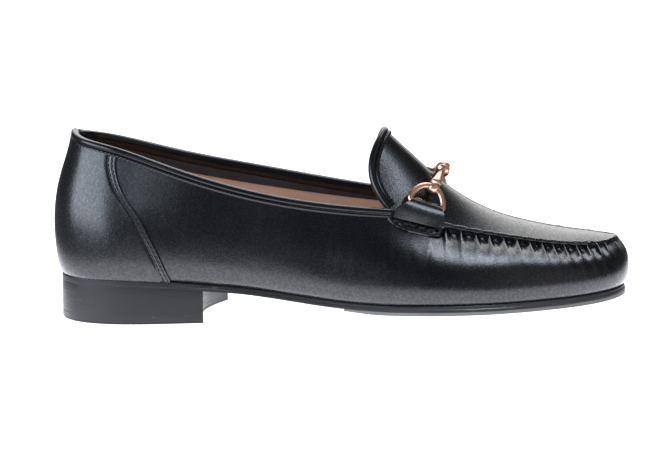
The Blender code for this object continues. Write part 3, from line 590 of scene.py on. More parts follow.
def apply_modifier(piece, kind, **settings):
    pick(piece)
    modifier = piece.modifiers.new(kind.lower(), kind)
    for name, value in settings.items():
        setattr(modifier, name, value)
    bpy.ops.object.modifier_apply(modifier=modifier.name)


def thicken(piece, thickness, offset=-1.0):
    """Gives a sheet its thickness, inwards unless told otherwise."""
    apply_modifier(piece, "SOLIDIFY", thickness=thickness * MM, offset=offset)


def finish_piece(piece, finish, slot, *nodes, angle=40.0):
    pick(piece)
    bpy.ops.object.shade_smooth_by_angle(angle=math.radians(angle))
    piece.data.materials.clear()
    piece.data.materials.append(finish)
    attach(piece, "root")
    if nodes:
        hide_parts(*nodes)
    triangles = sum(len(face.vertices) - 2 for face in piece.data.polygons)
    print(piece.name, triangles, "triangles")


def close_ring(points):
    """Repeats the first column after the last, so that a band can be welded into a ring."""
    return np.concatenate((points, points[:1]), axis=0)


def close_section(points):
    """Repeats the first row after the last, so that a strip can be welded into a tube."""
    return np.concatenate((points, points[:, :1]), axis=1)


# %% [markdown]
# ## Finishes
# Two effects are shared, so each is a node group. Leather grain gives a fine height for the bump and a
# soft cloud for colour and gloss: real calf is never equally glossy all over. Rubbed wear gives a mask of
# short marks. The shader itself stays in each material, with its constant values on its own sockets.

# %% Shared effects
def shader_group(name, outputs):
    """An empty node group with named value outputs, and its group output node."""
    group = bpy.data.node_groups.new(name, "ShaderNodeTree")
    group.interface.new_socket("Size", in_out="INPUT", socket_type="NodeSocketFloat")
    for output in outputs:
        group.interface.new_socket(output, in_out="OUTPUT", socket_type="NodeSocketFloat")
    return group, group.nodes.new("NodeGroupInput"), group.nodes.new("NodeGroupOutput")


def scaled_place(tree, size, stretch=(1.0, 1.0, 1.0)):
    """Object coordinates divided by a pattern's size and stretched, ready to feed a texture."""
    place = add_node(tree, "ShaderNodeTexCoord").outputs["Object"]
    spread = add_node(tree, "ShaderNodeVectorMath", {1: stretch}, {0: place}, operation="MULTIPLY")
    divide = add_node(tree, "ShaderNodeMath", {0: 1.0}, {1: size}, operation="DIVIDE")
    scale = add_node(tree, "ShaderNodeVectorMath", operation="SCALE",
                     feeds={0: spread.outputs["Vector"], "Scale": divide.outputs[0]})
    return {"Vector": scale.outputs["Vector"]}


grain_group, grain_in, grain_out = shader_group("leather_grain", ("Height", "Cloud"))
grain_place = scaled_place(grain_group, grain_in.outputs["Size"])
pores = add_node(grain_group, "ShaderNodeTexVoronoi", {"Scale": 1.0}, grain_place, feature="SMOOTH_F1")
fibres = add_node(grain_group, "ShaderNodeTexNoise", {"Scale": 0.55, "Detail": 4.0, "Roughness": 0.6},
                  grain_place)
cloudy = add_node(grain_group, "ShaderNodeTexNoise", {"Scale": 0.035, "Detail": 3.0, "Roughness": 0.55},
                  grain_place)
grain_sum = add_node(grain_group, "ShaderNodeMath", {1: 0.55}, operation="MULTIPLY_ADD",
                     feeds={0: pores.outputs["Distance"], 2: fibres.outputs["Fac"]})
grain_group.links.new(grain_sum.outputs[0], grain_out.inputs["Height"])
grain_group.links.new(map_range(grain_group, cloudy.outputs["Fac"], 0.3, 0.7), grain_out.inputs["Cloud"])

wear_group, wear_in, wear_out = shader_group("rubbed_wear", ("Layers", "Marks"))
layer_place = scaled_place(wear_group, wear_in.outputs["Size"], (0.06, 0.06, 1.0))
layer_noise = add_node(wear_group, "ShaderNodeTexNoise", {"Scale": 1.0, "Detail": 3.0}, layer_place)
mark_place = scaled_place(wear_group, wear_in.outputs["Size"], (0.12, 0.12, 0.35))
mark_noise = add_node(wear_group, "ShaderNodeTexNoise", {"Scale": 1.0, "Detail": 2.0}, mark_place)
wear_group.links.new(layer_noise.outputs["Fac"], wear_out.inputs["Layers"])
wear_group.links.new(map_range(wear_group, mark_noise.outputs["Fac"], 0.68, 0.78), wear_out.inputs["Marks"])
print("groups", [group.name for group in bpy.data.node_groups])

# %% Materials
COAT_ROUGHNESS, COAT_FROM, COAT_FULL = 0.3, 0.55, 1.0
GRAIN_DEEP = 0.08
# Each names the effect's output that it follows
Tones = namedtuple("Tones", "by dark light")
Gloss = namedtuple("Gloss", "by low high rough_low rough_high")
Relief = namedtuple("Relief", "by strength deep")


def make_finish(name, group, size, tones, gloss, relief, specular=0.5, metallic=0.0, coat=0.0):
    """A material whose tones, gloss and relief each follow one output of a shared effect."""
    finish, tree, shader = new_paint(name, {
        "Metallic": metallic, "Coat Roughness": COAT_ROUGHNESS, "Specular IOR Level": specular})
    effect = add_node(tree, "ShaderNodeGroup", {"Size": size * MM}, node_tree=group).outputs
    two_tones(tree, shader, effect[tones.by], tones.dark, tones.light)
    tree.links.new(map_range(tree, effect[gloss.by], *gloss[1:]), shader.inputs["Roughness"])
    if coat:
        shine = map_range(tree, effect["Height"], COAT_FROM, COAT_FULL, 0.0, coat)
        tree.links.new(shine, shader.inputs["Coat Weight"])
    bump = add_node(tree, "ShaderNodeBump", {"Strength": relief.strength, "Distance": relief.deep * MM},
                    {"Height": effect[relief.by]})
    tree.links.new(bump.outputs["Normal"], shader.inputs["Normal"])
    return finish


def leather(name, dark, light, gloss, grain_size, grain_strength, **more):
    """A leather: two close tones, a changing gloss and a fine grain."""
    return make_finish(name, grain_group, grain_size, Tones("Cloud", dark, light),
                       Gloss("Cloud", 0.0, 1.0, *gloss), Relief("Height", grain_strength, GRAIN_DEEP), **more)


black_calf = leather("black_calf", (0.0030, 0.0034, 0.0044), (0.0042, 0.0048, 0.0060), (0.235, 0.268),
                     0.70, 0.48, coat=0.5)
binding_calf = leather("binding_calf", (0.0034, 0.0038, 0.0048), (0.0055, 0.0058, 0.0070), (0.21, 0.26),
                       0.45, 0.3)
facing_calf = leather("facing_calf", (0.026, 0.029, 0.036), (0.042, 0.046, 0.056), (0.40, 0.50), 0.5, 0.4)
tan_lining = leather("tan_lining", (0.77, 0.52, 0.385), (0.85, 0.585, 0.445), (0.50, 0.62), 0.6, 0.4,
                     specular=0.35)
black_thread = leather("black_thread", (0.010, 0.010, 0.012), (0.030, 0.030, 0.033), (0.42, 0.5), 0.25, 0.6)
edge_black = make_finish("black_sole_edge", wear_group, 0.9,
                         Tones("Marks", (0.011, 0.011, 0.012), (0.05, 0.05, 0.052)),
                         Gloss("Layers", 0.3, 0.7, 0.36, 0.50), Relief("Layers", 0.35, 0.08), specular=0.36)
grey_rubber = make_finish("grey_rubber", grain_group, 0.8,
                          Tones("Cloud", (0.17, 0.160, 0.155), (0.22, 0.208, 0.202)),
                          Gloss("Cloud", 0.0, 1.0, 0.68, 0.8), Relief("Height", 0.5, 0.1), specular=0.3)
rose_gold = make_finish("rose_gold", grain_group, 0.7,
                        Tones("Cloud", (0.78, 0.47, 0.345), (0.87, 0.56, 0.43)),
                        Gloss("Height", 0.4, 1.1, 0.30, 0.38), Relief("Height", 0.06, 0.03), metallic=1.0)
print("materials", len(bpy.data.materials))

# %% [markdown]
# ## Quarters and gathered forepart
# One band of leather goes all round the last. At the back it is smooth; along the apron's seam it is wider
# than the seam, so the stitches gather it into pleats: narrow ridges under the lip that flare and die away
# within about 9 mm, with a pit at every stitch, and that calm down across the toe. They are added along the
# band's normal, as a wave along the seam that fades below it. A few soft creases are added from a table.

# %% Columns round the last
REAR_STEP, FRONT_STEP = 1.0, 0.42
FINE_STEPS = 4001
PLEAT_START, PLEAT_FULL = 168.0, 177.0    # X over which the gathers begin, beside the tab
# Distances of the ridges from the toe's middle, along the seam
RIDGES = np.array((0.0, 7.0, 12.6, 17.3, 22.7, 28.3, 34.1, 39.2, 44.3, 49.8, 55.7, 61.7, 68.1, 74.0, 80.9,
                   87.8, 94.7, 101.6, 108.5))


def walked_top(side):
    """A fine row of u on one side, and the length walked to each along the top line."""
    fine = np.linspace(0.0, 1.0, FINE_STEPS)
    return fine, walked_along(top_point(fine, side))


def stations(side):
    """The u of each column on one side, close-set along the seam."""
    fine, walked = walked_top(side)
    throat = np.interp(THROAT, fine, walked)
    rear = np.linspace(0.0, throat, round(throat / REAR_STEP) + 1)
    front = np.linspace(throat, walked[-1], round((walked[-1] - throat) / FRONT_STEP) + 1)
    return np.interp(np.concatenate((rear, front[1:])), walked, fine)


def pleat_count(u, side):
    """How many pleats lie between a place and the toe's middle: whole numbers are ridges."""
    counts = []
    for one in (LATERAL, MEDIAL):
        fine, walked = walked_top(one)
        left = walked[-1] - np.interp(u, fine, walked)
        counts.append(np.interp(left, RIDGES, np.arange(len(RIDGES))))
    return of_side(side, *counts)


band_u, band_side = full_round(stations(LATERAL), stations(MEDIAL))
band = wall_sections(band_u, band_side)
band_length = band[1][:, -1:]
print("columns round the last", len(band_u))

# %% Pleats and creases
TOP_ROWS = np.linspace(0.0, 14.0, 27)     # distances below the top line
LOW_ROWS = np.linspace(0.0, 1.0, 15)[1:]  # shares of what is left down to the sole
BAND_THICK, SHEET_THICK = 0.9, 0.7
VALLEY_DEEP, VALLEY_AT = 1.5, 3.2         # the tuck under the lip, and how far below the lip it is deepest
RIDGE_HIGH, RIDGE_REACH, RIDGE_START = 0.45, 6.0, 1.5
RIDGE_SHARP, LIP_SHARP, LIP_SHARP_REACH = 1.6, 6.0, 2.4     # how narrow a ridge is, and more by the lip
RIDGE_FILLS, FILLS_MOST = 0.8, 0.95       # how much of the tuck a ridge fills
STREAK_HIGH, STREAK_START, STREAK_REACH = 0.07, 3.0, 9.0
UNEVEN_HIGH = 0.08
CREASE_BELOW_TOP, CREASE_ABOVE_SOLE = 6.0, 4.0              # over what distances the creases fade in
# How far, from which u and over how much of it the pleats die down where the seam turns across the toe
TOE_CALM, TOE_CALM_FROM, TOE_CALM_OVER = 0.75, 0.86, 0.07
# How strong each pleat is, counted from the toe's middle
PLEAT_STRENGTH = np.array((0.7, 0.8, 0.9, 1.1, 0.85, 1.15, 1.0, 0.9, 1.1, 0.95, 1.15, 0.9, 1.05, 0.8, 1.1,
                           0.9, 1.0, 0.8, 0.7, 0.6))
Crease = namedtuple("Crease", "x height long wide deep lean")
CREASES = (
    Crease(124.5, 36.0, 8.0, 1.6, 0.13, 0.10),
    Crease(129.0, 39.0, 9.0, 1.5, 0.13, 0.16),
    Crease(133.5, 35.0, 8.0, 1.8, 0.10, 0.05),
    Crease(139.0, 37.0, 6.0, 1.6, 0.12, -0.10),
    Crease(154.0, 30.0, 6.0, 1.8, 0.16, -0.20),
    Crease(161.0, 28.0, 6.0, 1.6, 0.18, 0.05),
    Crease(168.0, 27.5, 6.0, 1.6, 0.18, 0.20),
    Crease(92.0, 48.0, 12.0, 4.0, 0.20, 0.25),
)


def tuck(u, x, below):
    """How gathered the leather is at each place, and how far a full gather is pulled in under the lip."""
    calmer = 1.0 - TOE_CALM * ease((u - TOE_CALM_FROM) / TOE_CALM_OVER)
    gathered = ease((x - PLEAT_START) / (PLEAT_FULL - PLEAT_START)) * ((u > THROAT) * calmer)[:, None]
    return gathered, VALLEY_DEEP * below / VALLEY_AT * np.exp(1.0 - below / VALLEY_AT)


def pleat_relief(u, side, x, below):
    """How far the gathered leather stands out (or sinks) at distances below the seam."""
    count = pleat_count(u, side)[:, None]
    strength = np.interp(count, np.arange(len(PLEAT_STRENGTH)), PLEAT_STRENGTH)
    gathered, pulled_in = tuck(u, x, below)
    wave = 0.5 + 0.5 * np.cos(2.0 * np.pi * count)
    ridge = wave ** (RIDGE_SHARP + LIP_SHARP * np.exp(-below / LIP_SHARP_REACH))
    sunk = pulled_in * (1.0 - np.minimum(RIDGE_FILLS * strength, FILLS_MOST) * ridge)
    fade = ease(below / RIDGE_START) * np.exp(-(below / RIDGE_REACH) ** 2)
    raised_by = RIDGE_HIGH * strength * ridge * fade
    streaks = np.cos(2.0 * np.pi * (2.0 * count + 0.13 * below)) + np.cos(2.0 * np.pi * (3.1 * count + 0.3))
    streaks = STREAK_HIGH * streaks * ease(below / STREAK_START) * np.exp(-(below / STREAK_REACH) ** 2)
    return gathered * (raised_by - sunk + streaks)


def crease_relief(points, side):
    """Soft troughs at listed places on the lateral side, and a slow unevenness all round."""
    x, height = points[..., 0], points[..., 2]
    relief = UNEVEN_HIGH * np.sin(x / 5.3 + height / 9.0) * np.sin(height / 6.1 - x / 17.0)
    for crease in CREASES:
        off_x = x - crease.x - crease.lean * (height - crease.height)
        reach = np.exp(-(off_x / crease.wide) ** 2 - ((height - crease.height) / crease.long) ** 2)
        relief = relief - crease.deep * reach * (side[:, None] == LATERAL)
    return relief


below = np.concatenate((np.broadcast_to(TOP_ROWS, (len(band_u), len(TOP_ROWS))),
                        TOP_ROWS[-1] + (band_length - TOP_ROWS[-1]) * LOW_ROWS), axis=1)[:, ::-1]
band_points = down_the_wall(band, below)
band_normals = grid_normals(band_points, wrap=True)
relief = pleat_relief(band_u, band_side, band_points[..., 0], below)
crease_fade = ease(below / CREASE_BELOW_TOP) * ease((band_length - below) / CREASE_ABOVE_SOLE)
relief = relief + crease_relief(band_points, band_side) * crease_fade
quarters = lay_grid("quarters", close_ring(band_points + relief[..., None] * band_normals))
weld(quarters)
thicken(quarters, BAND_THICK)
finish_piece(quarters, black_calf, "upper_leather", "upper", angle=70.0)

# A strip light for the band alone carries the highlight on round the forepart
softbox("band_light", (0.667, 0.505, 1.334), (0.075, -0.035, 0.03), 0.32, 0.52, 6.0, only=quarters)

# %% [markdown]
# ## Apron and tongue
# The apron covers the forefoot and rises into the tongue. It is laid between the two seams and crowned
# along the spine. Its edge is turned over into a thin standing lip: near the seam the sheet lifts, and a
# band welded to its border carries it round and under. Between two stitches the lip bows out a little.

# %% The apron's surface
APRON_ROWS, APRON_COLUMNS = 231, 95
EDGE_CROWDING = 0.45
LIP_HIGH, LIP_REACH = 0.75, 2.3
LIP_FADE = 0.05


def seam_u(sigma):
    return THROAT + sigma * (TOE_CORNER - THROAT)


def apron_base(sigma, eta):
    """The apron laid flat between its edges."""
    share = ((eta + 1.0) / 2.0)[..., None]

    def between(u):
        return (1 - share) * top_point(u, LATERAL) + share * top_point(u, MEDIAL)

    seam = between(seam_u(sigma))
    throat = between(np.full_like(sigma, THROAT))
    corners = between(np.full_like(sigma, TOE_CORNER))
    toe = top_point(1.0 - np.abs(eta) * (1.0 - TOE_CORNER), np.where(eta < 0, LATERAL, MEDIAL))
    tongue = throat.copy()
    tongue[..., 0] = TONGUE_TOP_X + (throat[..., 0] - TONGUE_TOP_X) * eta * eta
    sigma = sigma[..., None]
    return seam + (1 - sigma) * (tongue - throat) + sigma * (toe - corners)


def apron(sigma, eta):
    """Points of the apron: sigma 0 at the tongue's edge and 1 at the toe, eta -1 lateral to 1 medial."""
    sigma, eta = np.broadcast_arrays(np.asarray(sigma, dtype=float), np.asarray(eta, dtype=float))
    points = apron_base(sigma, eta)
    middle = apron_base(sigma, np.zeros_like(eta))
    points[..., 2] += (spine_height(middle[..., 0]) - middle[..., 2]) * (1.0 - eta * eta)
    bulge = 4.0 * eta * eta * (1.0 - eta * eta) * (1.0 - sigma) ** TONGUE_FADE
    points[..., 0] -= of_side(eta, TONGUE_BULGE_LATERAL, TONGUE_BULGE_MEDIAL) * bulge
    return points


spread = np.linspace(-1.0, 1.0, APRON_COLUMNS)
apron_eta = (1.0 - EDGE_CROWDING) * spread + EDGE_CROWDING * np.sin(spread * math.pi / 2.0)
apron_sigma = np.linspace(0.0, 1.0, APRON_ROWS)
apron_points = apron(apron_sigma[:, None], apron_eta[None, :])
apron_normals = grid_normals(apron_points)

# The border, walked from the medial throat round the toe to the lateral throat
border_rows = np.concatenate((np.arange(APRON_ROWS), np.full(APRON_COLUMNS - 2, APRON_ROWS - 1),
                              np.arange(APRON_ROWS)[::-1]))
border_columns = np.concatenate((np.full(APRON_ROWS, APRON_COLUMNS - 1),
                                 np.arange(1, APRON_COLUMNS - 1)[::-1], np.zeros(APRON_ROWS, dtype=int)))
on_toe = (border_rows == APRON_ROWS - 1)
border_eta = apron_eta[border_columns]
border_u = np.where(on_toe, 1.0 - np.abs(border_eta) * (1.0 - TOE_CORNER), seam_u(apron_sigma[border_rows]))
border_side = np.where(border_eta < 0, LATERAL, MEDIAL)
border = apron_points[border_rows, border_columns]
print("apron seam", round(float(walked_along(border)[-1]), 1), "mm long")

# %% The lip along the seam
SLOPE_BETWEEN = (0.3, 2.3)                # distances below the seam that give the wall's slope there
LIP_SMOOTHING = 9
LIP_PULLED = 0.5                          # how much smaller the lip is at a stitch


def smoothed(vectors, reach):
    """A moving average along a row of vectors, made unit again."""
    kernel = np.ones(2 * reach + 1) / (2 * reach + 1)
    padded = np.pad(vectors, ((reach, reach), (0, 0)), mode="edge")
    return unit(np.stack([np.convolve(padded[:, axis], kernel, mode="valid") for axis in range(3)], axis=-1))


border_way = unit(np.gradient(border, axis=0))
border_wall = down_the_wall(wall_sections(border_u, border_side), SLOPE_BETWEEN)
wall_down = unit(border_wall[:, 1] - border_wall[:, 0])
wall_out = np.cross(wall_down, border_way)
lip_up = smoothed(unit(wall_out) + apron_normals[border_rows, border_columns], LIP_SMOOTHING)
lip_out = unit(np.cross(border_way, lip_up))
print("lip leans out and down the wall", bool((np.sum(lip_out * wall_down, axis=1) > 0).all()))

# Stitches lie half way between two ridges, and pull the lip in
border_count = pleat_count(border_u, border_side)
stitch_pull = (0.5 - 0.5 * np.cos(2.0 * np.pi * border_count)) ** 3
lip_size = ease((border_u - THROAT) / LIP_FADE) * (1.0 - LIP_PULLED * stitch_pull)

nearest = np.empty(apron_points.shape[:2], dtype=int)
distance = np.empty(apron_points.shape[:2])
for row in range(APRON_ROWS):
    apart = np.linalg.norm(apron_points[row][:, None, :] - border[None, :, :], axis=2)
    nearest[row] = np.argmin(apart, axis=1)
    distance[row] = np.min(apart, axis=1)
lift = LIP_HIGH * lip_size[nearest] * (1.0 - ease(distance / LIP_REACH))
raised = apron_points + lift[..., None] * lip_up[nearest]

# The lip's section past the seam, as (outward, upward) steps that turn it under
LIP_SECTION = ((0.35, 0.72), (0.62, 0.50), (0.76, 0.18), (0.72, -0.18), (0.48, -0.50), (0.0, -0.70))
lip_rows = [raised[border_rows, border_columns]]
for outward, upward in LIP_SECTION:
    lip_rows.append(border + (lip_size * outward)[:, None] * lip_out
                    + (lip_size * upward)[:, None] * lip_up)
lip_points = np.stack(lip_rows, axis=1)

apron_piece = lay_grid("apron", raised)
lip_piece = lay_grid("apron_lip", lip_points)
join(apron_piece, lip_piece)
weld(apron_piece)
thicken(apron_piece, SHEET_THICK)
finish_piece(apron_piece, black_calf, "upper_leather", "upper", angle=80.0)

# A small light that only the tongue and the apron see gives the curved highlight on the tongue
softbox("tongue_light", (0.657, -0.294, 0.758), (0.024, -0.012, 0.065), 0.07, 0.14, 27.0, only=apron_piece)

# %% [markdown]
# ## Heel counter
# A second layer of the same calf is sewn round the heel. Its front edge sweeps forward as it goes down, two
# rows of stitches follow that edge, and the leather is pulled down into them. The sheet is laid on the
# wall, lifted by its thickness, and thinned to nothing at the front edge, as a skived edge is.

# %% The counter's sheet
CounterEdge = namedtuple("CounterEdge", "height x")
COUNTER_EDGE = (
    CounterEdge(20.0, 54.0),
    CounterEdge(31.0, 49.6),
    CounterEdge(41.0, 44.9),
    CounterEdge(50.0, 40.1),
    CounterEdge(57.0, 35.1),
    CounterEdge(62.0, 32.7),
    CounterEdge(67.0, 31.3),
    CounterEdge(71.0, 30.8),
    CounterEdge(76.0, 31.6),
)
COUNTER_LOW, COUNTER_HIGH = 0.2, 3.0
COUNTER_THICK, SKIVE = 1.0, 0.5
STITCH_ROWS = (3.7, 1.6)                  # distances of the two rows of stitches behind the edge
GROOVE_DEEP, GROOVE_WIDE = (0.5, 0.25), (0.9, 0.5)
counter_front, = curves_through(COUNTER_EDGE)
counter_shares = np.linspace(0.0, 1.0, 71)
EDGE_PLACES = np.concatenate((np.linspace(0.0, 0.6, 7), np.linspace(0.8, 5.4, 24)))
HEEL_COLUMNS = 60
COUNTER_U, COUNTER_SECTIONS = 0.42, 240   # the u that it nowhere reaches, and the wall's sections up to there
SKIVED_SINK = 0.15                        # how far the skived edge is pressed into the leather below


def counter_half(side):
    """The counter on one side, from its front edge back to the heel's middle, with distances to the edge."""
    u = np.linspace(0.0, COUNTER_U, COUNTER_SECTIONS)
    sections = wall_sections(u, np.full(len(u), side))
    low = sections[1][:, -1:] - COUNTER_LOW
    points = down_the_wall(sections, low + (COUNTER_HIGH - low) * counter_shares)
    rows = []
    distances = []
    for row in range(len(counter_shares)):
        line = points[:, row]
        past = line[:, 0] - counter_front(line[:, 2])
        last = np.argmax(past > 0)
        t = past[last - 1] / (past[last - 1] - past[last])
        line = np.concatenate((line[:last], [line[last - 1] * (1 - t) + line[last] * t]))
        walked = walked_along(line)
        rest = np.linspace(EDGE_PLACES[-1], walked[-1], HEEL_COLUMNS + 1)[1:]
        places = np.concatenate((EDGE_PLACES, rest))
        rows.append(at_places(line, walked, walked[-1] - places))
        distances.append(places)
    return np.stack(rows, axis=1), np.stack(distances, axis=1)


lateral_half, lateral_from_edge = counter_half(LATERAL)
medial_half, medial_from_edge = counter_half(MEDIAL)
counter_points = np.concatenate((medial_half, lateral_half[-2::-1]))
from_edge = np.concatenate((medial_from_edge, lateral_from_edge[-2::-1]))
skived = np.clip(1.0 - from_edge / SKIVE, 0.0, 1.0)
counter_lift = COUNTER_THICK * np.sqrt(1.0 - skived ** 2) - SKIVED_SINK * skived
for place, deep, wide in zip(STITCH_ROWS, GROOVE_DEEP, GROOVE_WIDE):
    counter_lift = counter_lift - deep * np.exp(-((from_edge - place) / wide) ** 2)
counter_surface = counter_points + counter_lift[..., None] * grid_normals(counter_points)
counter = lay_grid("heel_counter_panel", counter_surface)
thicken(counter, SHEET_THICK)
finish_piece(counter, black_calf, "upper_leather", "heel_counter", angle=70.0)


# %% [markdown]
# ## Stitches
# A stitch is a short thread with rounded ends. One is modelled from a sphere whose halves are pulled apart,
# and its mesh is then repeated along a line of places. All stitches of one seam are a single joined mesh.

# %% Helpers for stitches
Thread = namedtuple("Thread", "length radius")


def model_stitch(thread):
    """The points and faces of one thread along X, in millimetres."""
    bpy.ops.object.select_all(action="DESELECT")
    bpy.ops.mesh.primitive_uv_sphere_add(segments=7, ring_count=5, radius=thread.radius,
                                         rotation=(0.0, math.pi / 2.0, 0.0))
    bpy.ops.object.transform_apply(location=False, rotation=True, scale=False)
    bead = bpy.context.object
    points = np.array([vertex.co for vertex in bead.data.vertices])
    faces = [list(face.vertices) for face in bead.data.polygons]
    bpy.data.objects.remove(bead)
    points[:, 0] += np.sign(points[:, 0]) * (thread.length / 2.0 - thread.radius)
    return points, faces


def sew(name, centres, ways, ups, thread):
    """Copies of one stitch at places with their directions, joined into one mesh."""
    points, faces = model_stitch(thread)
    ways, ups = unit(ways), unit(ups)
    sideways = np.cross(ups, ways)
    placed = (centres[:, None, :] + points[None, :, :1] * ways[:, None, :]
              + points[None, :, 1:2] * sideways[:, None, :] + points[None, :, 2:] * ups[:, None, :])
    joined = [[index + copy * len(points) for index in face]
              for copy in range(len(centres)) for face in faces]
    mesh = bpy.data.meshes.new(name)
    mesh.from_pydata(to_row(placed).reshape(-1, 3).tolist(), [], joined)
    piece = bpy.data.objects.new(name, mesh)
    bpy.context.collection.objects.link(piece)
    finish_piece(piece, black_thread, "upper_leather", angle=60.0)


# %% Counter stitches
COUNTER_STITCH, COUNTER_STITCH_FROM = 2.3, 1.0
COUNTER_THREAD, THREAD_LIFT = Thread(1.9, 0.3), 0.12
centres, ways, ups = [], [], []
for half, side in ((lateral_half, LATERAL), (medial_half, MEDIAL)):
    half_normals = grid_normals(half) * side
    for place, deep in zip(STITCH_ROWS, GROOVE_DEEP):
        column = np.argmin(np.abs(EDGE_PLACES - place))
        line = half[column] + half_normals[column] * (COUNTER_THICK - deep + THREAD_LIFT)
        walked = walked_along(line)
        places = np.arange(COUNTER_STITCH_FROM, walked[-1], COUNTER_STITCH)
        centres.append(at_places(line, walked, places))
        ways.append(at_places(np.gradient(line, axis=0), walked, places))
        ups.append(at_places(half_normals[column], walked, places))
sew("counter_stitches", np.concatenate(centres), np.concatenate(ways), np.concatenate(ups), COUNTER_THREAD)

# %% [markdown]
# ## Bindings
# The collar and the tongue are edged with a strip folded over the raw edge. It looks like two cords side by
# side: the rolled edge itself and a second roll below a groove, sewn along its lower side. Its section is a
# short table that is carried along the rim, and small dimples repeat with the stitches.

# %% The binding's section
Edge = namedtuple("Edge", "out below dimple")
BINDING_SECTION = (
    Edge(0.02, 3.75, 0.0), Edge(0.45, 3.72, 0.5), Edge(0.82, 3.45, 0.8), Edge(1.02, 3.0, 0.5),
    Edge(1.02, 2.55, 0.2), Edge(0.85, 2.15, 0.0), Edge(0.52, 1.92, 0.0), Edge(0.46, 1.80, 0.0),
    Edge(0.60, 1.62, 0.0), Edge(0.90, 1.30, 0.0), Edge(1.02, 0.80, 0.0), Edge(0.98, 0.25, 0.0),
    Edge(0.75, -0.30, 0.0), Edge(0.30, -0.75, 0.0), Edge(-0.30, -0.98, 0.0), Edge(-0.95, -1.05, 0.0),
    Edge(-1.60, -0.95, 0.0), Edge(-2.20, -0.62, 0.0), Edge(-2.70, -0.05, 0.0), Edge(-3.00, 0.80, 0.0),
    Edge(-3.15, 1.80, 0.0), Edge(-3.15, 2.90, 0.0), Edge(-2.95, 3.80, 0.0), Edge(-2.50, 4.30, 0.0),
    Edge(-1.70, 4.20, 0.0), Edge(-1.40, 0.60, 0.0), Edge(-0.40, 0.60, 0.0),
)
BINDING_STITCH = 1.9
DIMPLE_IN, DIMPLE_UP = 0.55, 0.25         # how much of its height a dimple takes, and how far it is drawn up


def carry_section(name, rims, normals, downs):
    """The folded strip carried along a rim, with a dimple at every stitch."""
    dimple = (0.5 + 0.5 * np.cos(2.0 * np.pi * walked_along(rims) / BINDING_STITCH)) ** 2
    columns = []
    for edge in BINDING_SECTION:
        out = edge.out * (1.0 - DIMPLE_IN * edge.dimple * dimple)
        below_rim = edge.below - DIMPLE_UP * edge.dimple * dimple
        columns.append(rims + out[:, None] * normals + below_rim[:, None] * downs)
    piece = lay_grid(name, close_section(np.stack(columns, axis=1)))
    weld(piece, distance=FINE_WELD, outward=True, fill=True)
    return piece


# %% Collar binding
BINDING_END, COLLAR_COLUMNS = 0.554, 330
STRIP_BETWEEN = (0.0, 3.4)                # distances below the rim that give the strip's slope there
collar_wall = down_the_wall(wall_sections(*round_the_heel(BINDING_END, COLLAR_COLUMNS)), STRIP_BETWEEN)
collar_rim = collar_wall[:, 0]
collar_down = unit(collar_wall[:, 1] - collar_rim)
collar_out = unit(np.cross(np.gradient(collar_rim, axis=0), collar_down))
collar_binding = carry_section("collar_strip", collar_rim, collar_out, collar_down)
finish_piece(collar_binding, binding_calf, "upper_leather", "collar_binding", angle=60.0)

# %% Tongue binding
TONGUE_END, TONGUE_COLUMNS = 0.985, 260
TONGUE_SLOPE = 0.035                      # the sigma that gives the tongue's slope at its rim
tongue_eta = np.linspace(-TONGUE_END, TONGUE_END, TONGUE_COLUMNS)
tongue_rim = apron(np.zeros_like(tongue_eta), tongue_eta)
tongue_in = apron(np.full_like(tongue_eta, TONGUE_SLOPE), tongue_eta)
tongue_way = np.gradient(tongue_rim, axis=0)
tongue_normal = unit(np.cross(tongue_in - tongue_rim, tongue_way))
tongue_down = unit(np.cross(tongue_way, tongue_normal))
tongue_binding = carry_section("tongue_strip", tongue_rim, tongue_normal, tongue_down)
finish_piece(tongue_binding, binding_calf, "upper_leather", "tongue_binding", angle=60.0)

# %% [markdown]
# ## The gathering stitches
# The apron is sewn to the band by hand: between two pleats a thick thread comes over the lip and goes down
# into a pit. Each one is laid along the lip's own outward and downward directions.

# %% Seam stitches
SEAM_THREAD = Thread(1.7, 0.42)
SEAM_STITCH_FROM = 175.0
valleys = np.arange(0.5, PLEAT_STRENGTH.size - 0.5)
seam_places = []
for side in (LATERAL, MEDIAL):
    on_side = np.flatnonzero((border_side == side) & (border[:, 0] > SEAM_STITCH_FROM))
    seam_places += [on_side[np.argmin(np.abs(border_count[on_side] - count))] for count in valleys
                    if border_count[on_side].max() > count]
thread_out, thread_up = lip_out[seam_places], lip_up[seam_places]
thread_at = border[seam_places] + 0.50 * thread_out + 0.25 * thread_up
thread_way = 0.55 * thread_out - 0.85 * thread_up
sew("seam_stitches", thread_at, thread_way, thread_out + 0.5 * thread_up, SEAM_THREAD)


# %% [markdown]
# ## Tabs
# A tab hides each end of the seam. Its lower part is a rounded flap sewn down on the leather; over it lies
# the strap that turns round the wire of the ring. Both follow a small patch of the shoe's own surface, so
# the patch comes first: a fine grid of places along the seam and above or below it.

# %% The patch under a tab
FlapRow = namedtuple("FlapRow", "above left right")
FLAP_ROWS = (
    FlapRow(-8.5, 160.0, 169.0),
    FlapRow(-7.7, 156.2, 172.4),
    FlapRow(-6.2, 152.8, 174.6),
    FlapRow(-4.2, 151.2, 175.5),
    FlapRow(-1.8, 152.4, 175.6),
    FlapRow(0.6, 154.0, 175.4),
)
PATCH_STEP = 0.5
PATCH_X = np.arange(144.0, 184.0, PATCH_STEP)
PATCH_ABOVE = np.arange(-15.0, 15.01, PATCH_STEP)
PATCH_SOFTENING = 12                      # how often the patch is averaged for its normals
PACE_SHARE = 0.1                          # the share of the apron's half width that gives its pace inwards
LAST_CELL = 1.001                         # keeps a place just short of the patch's last line


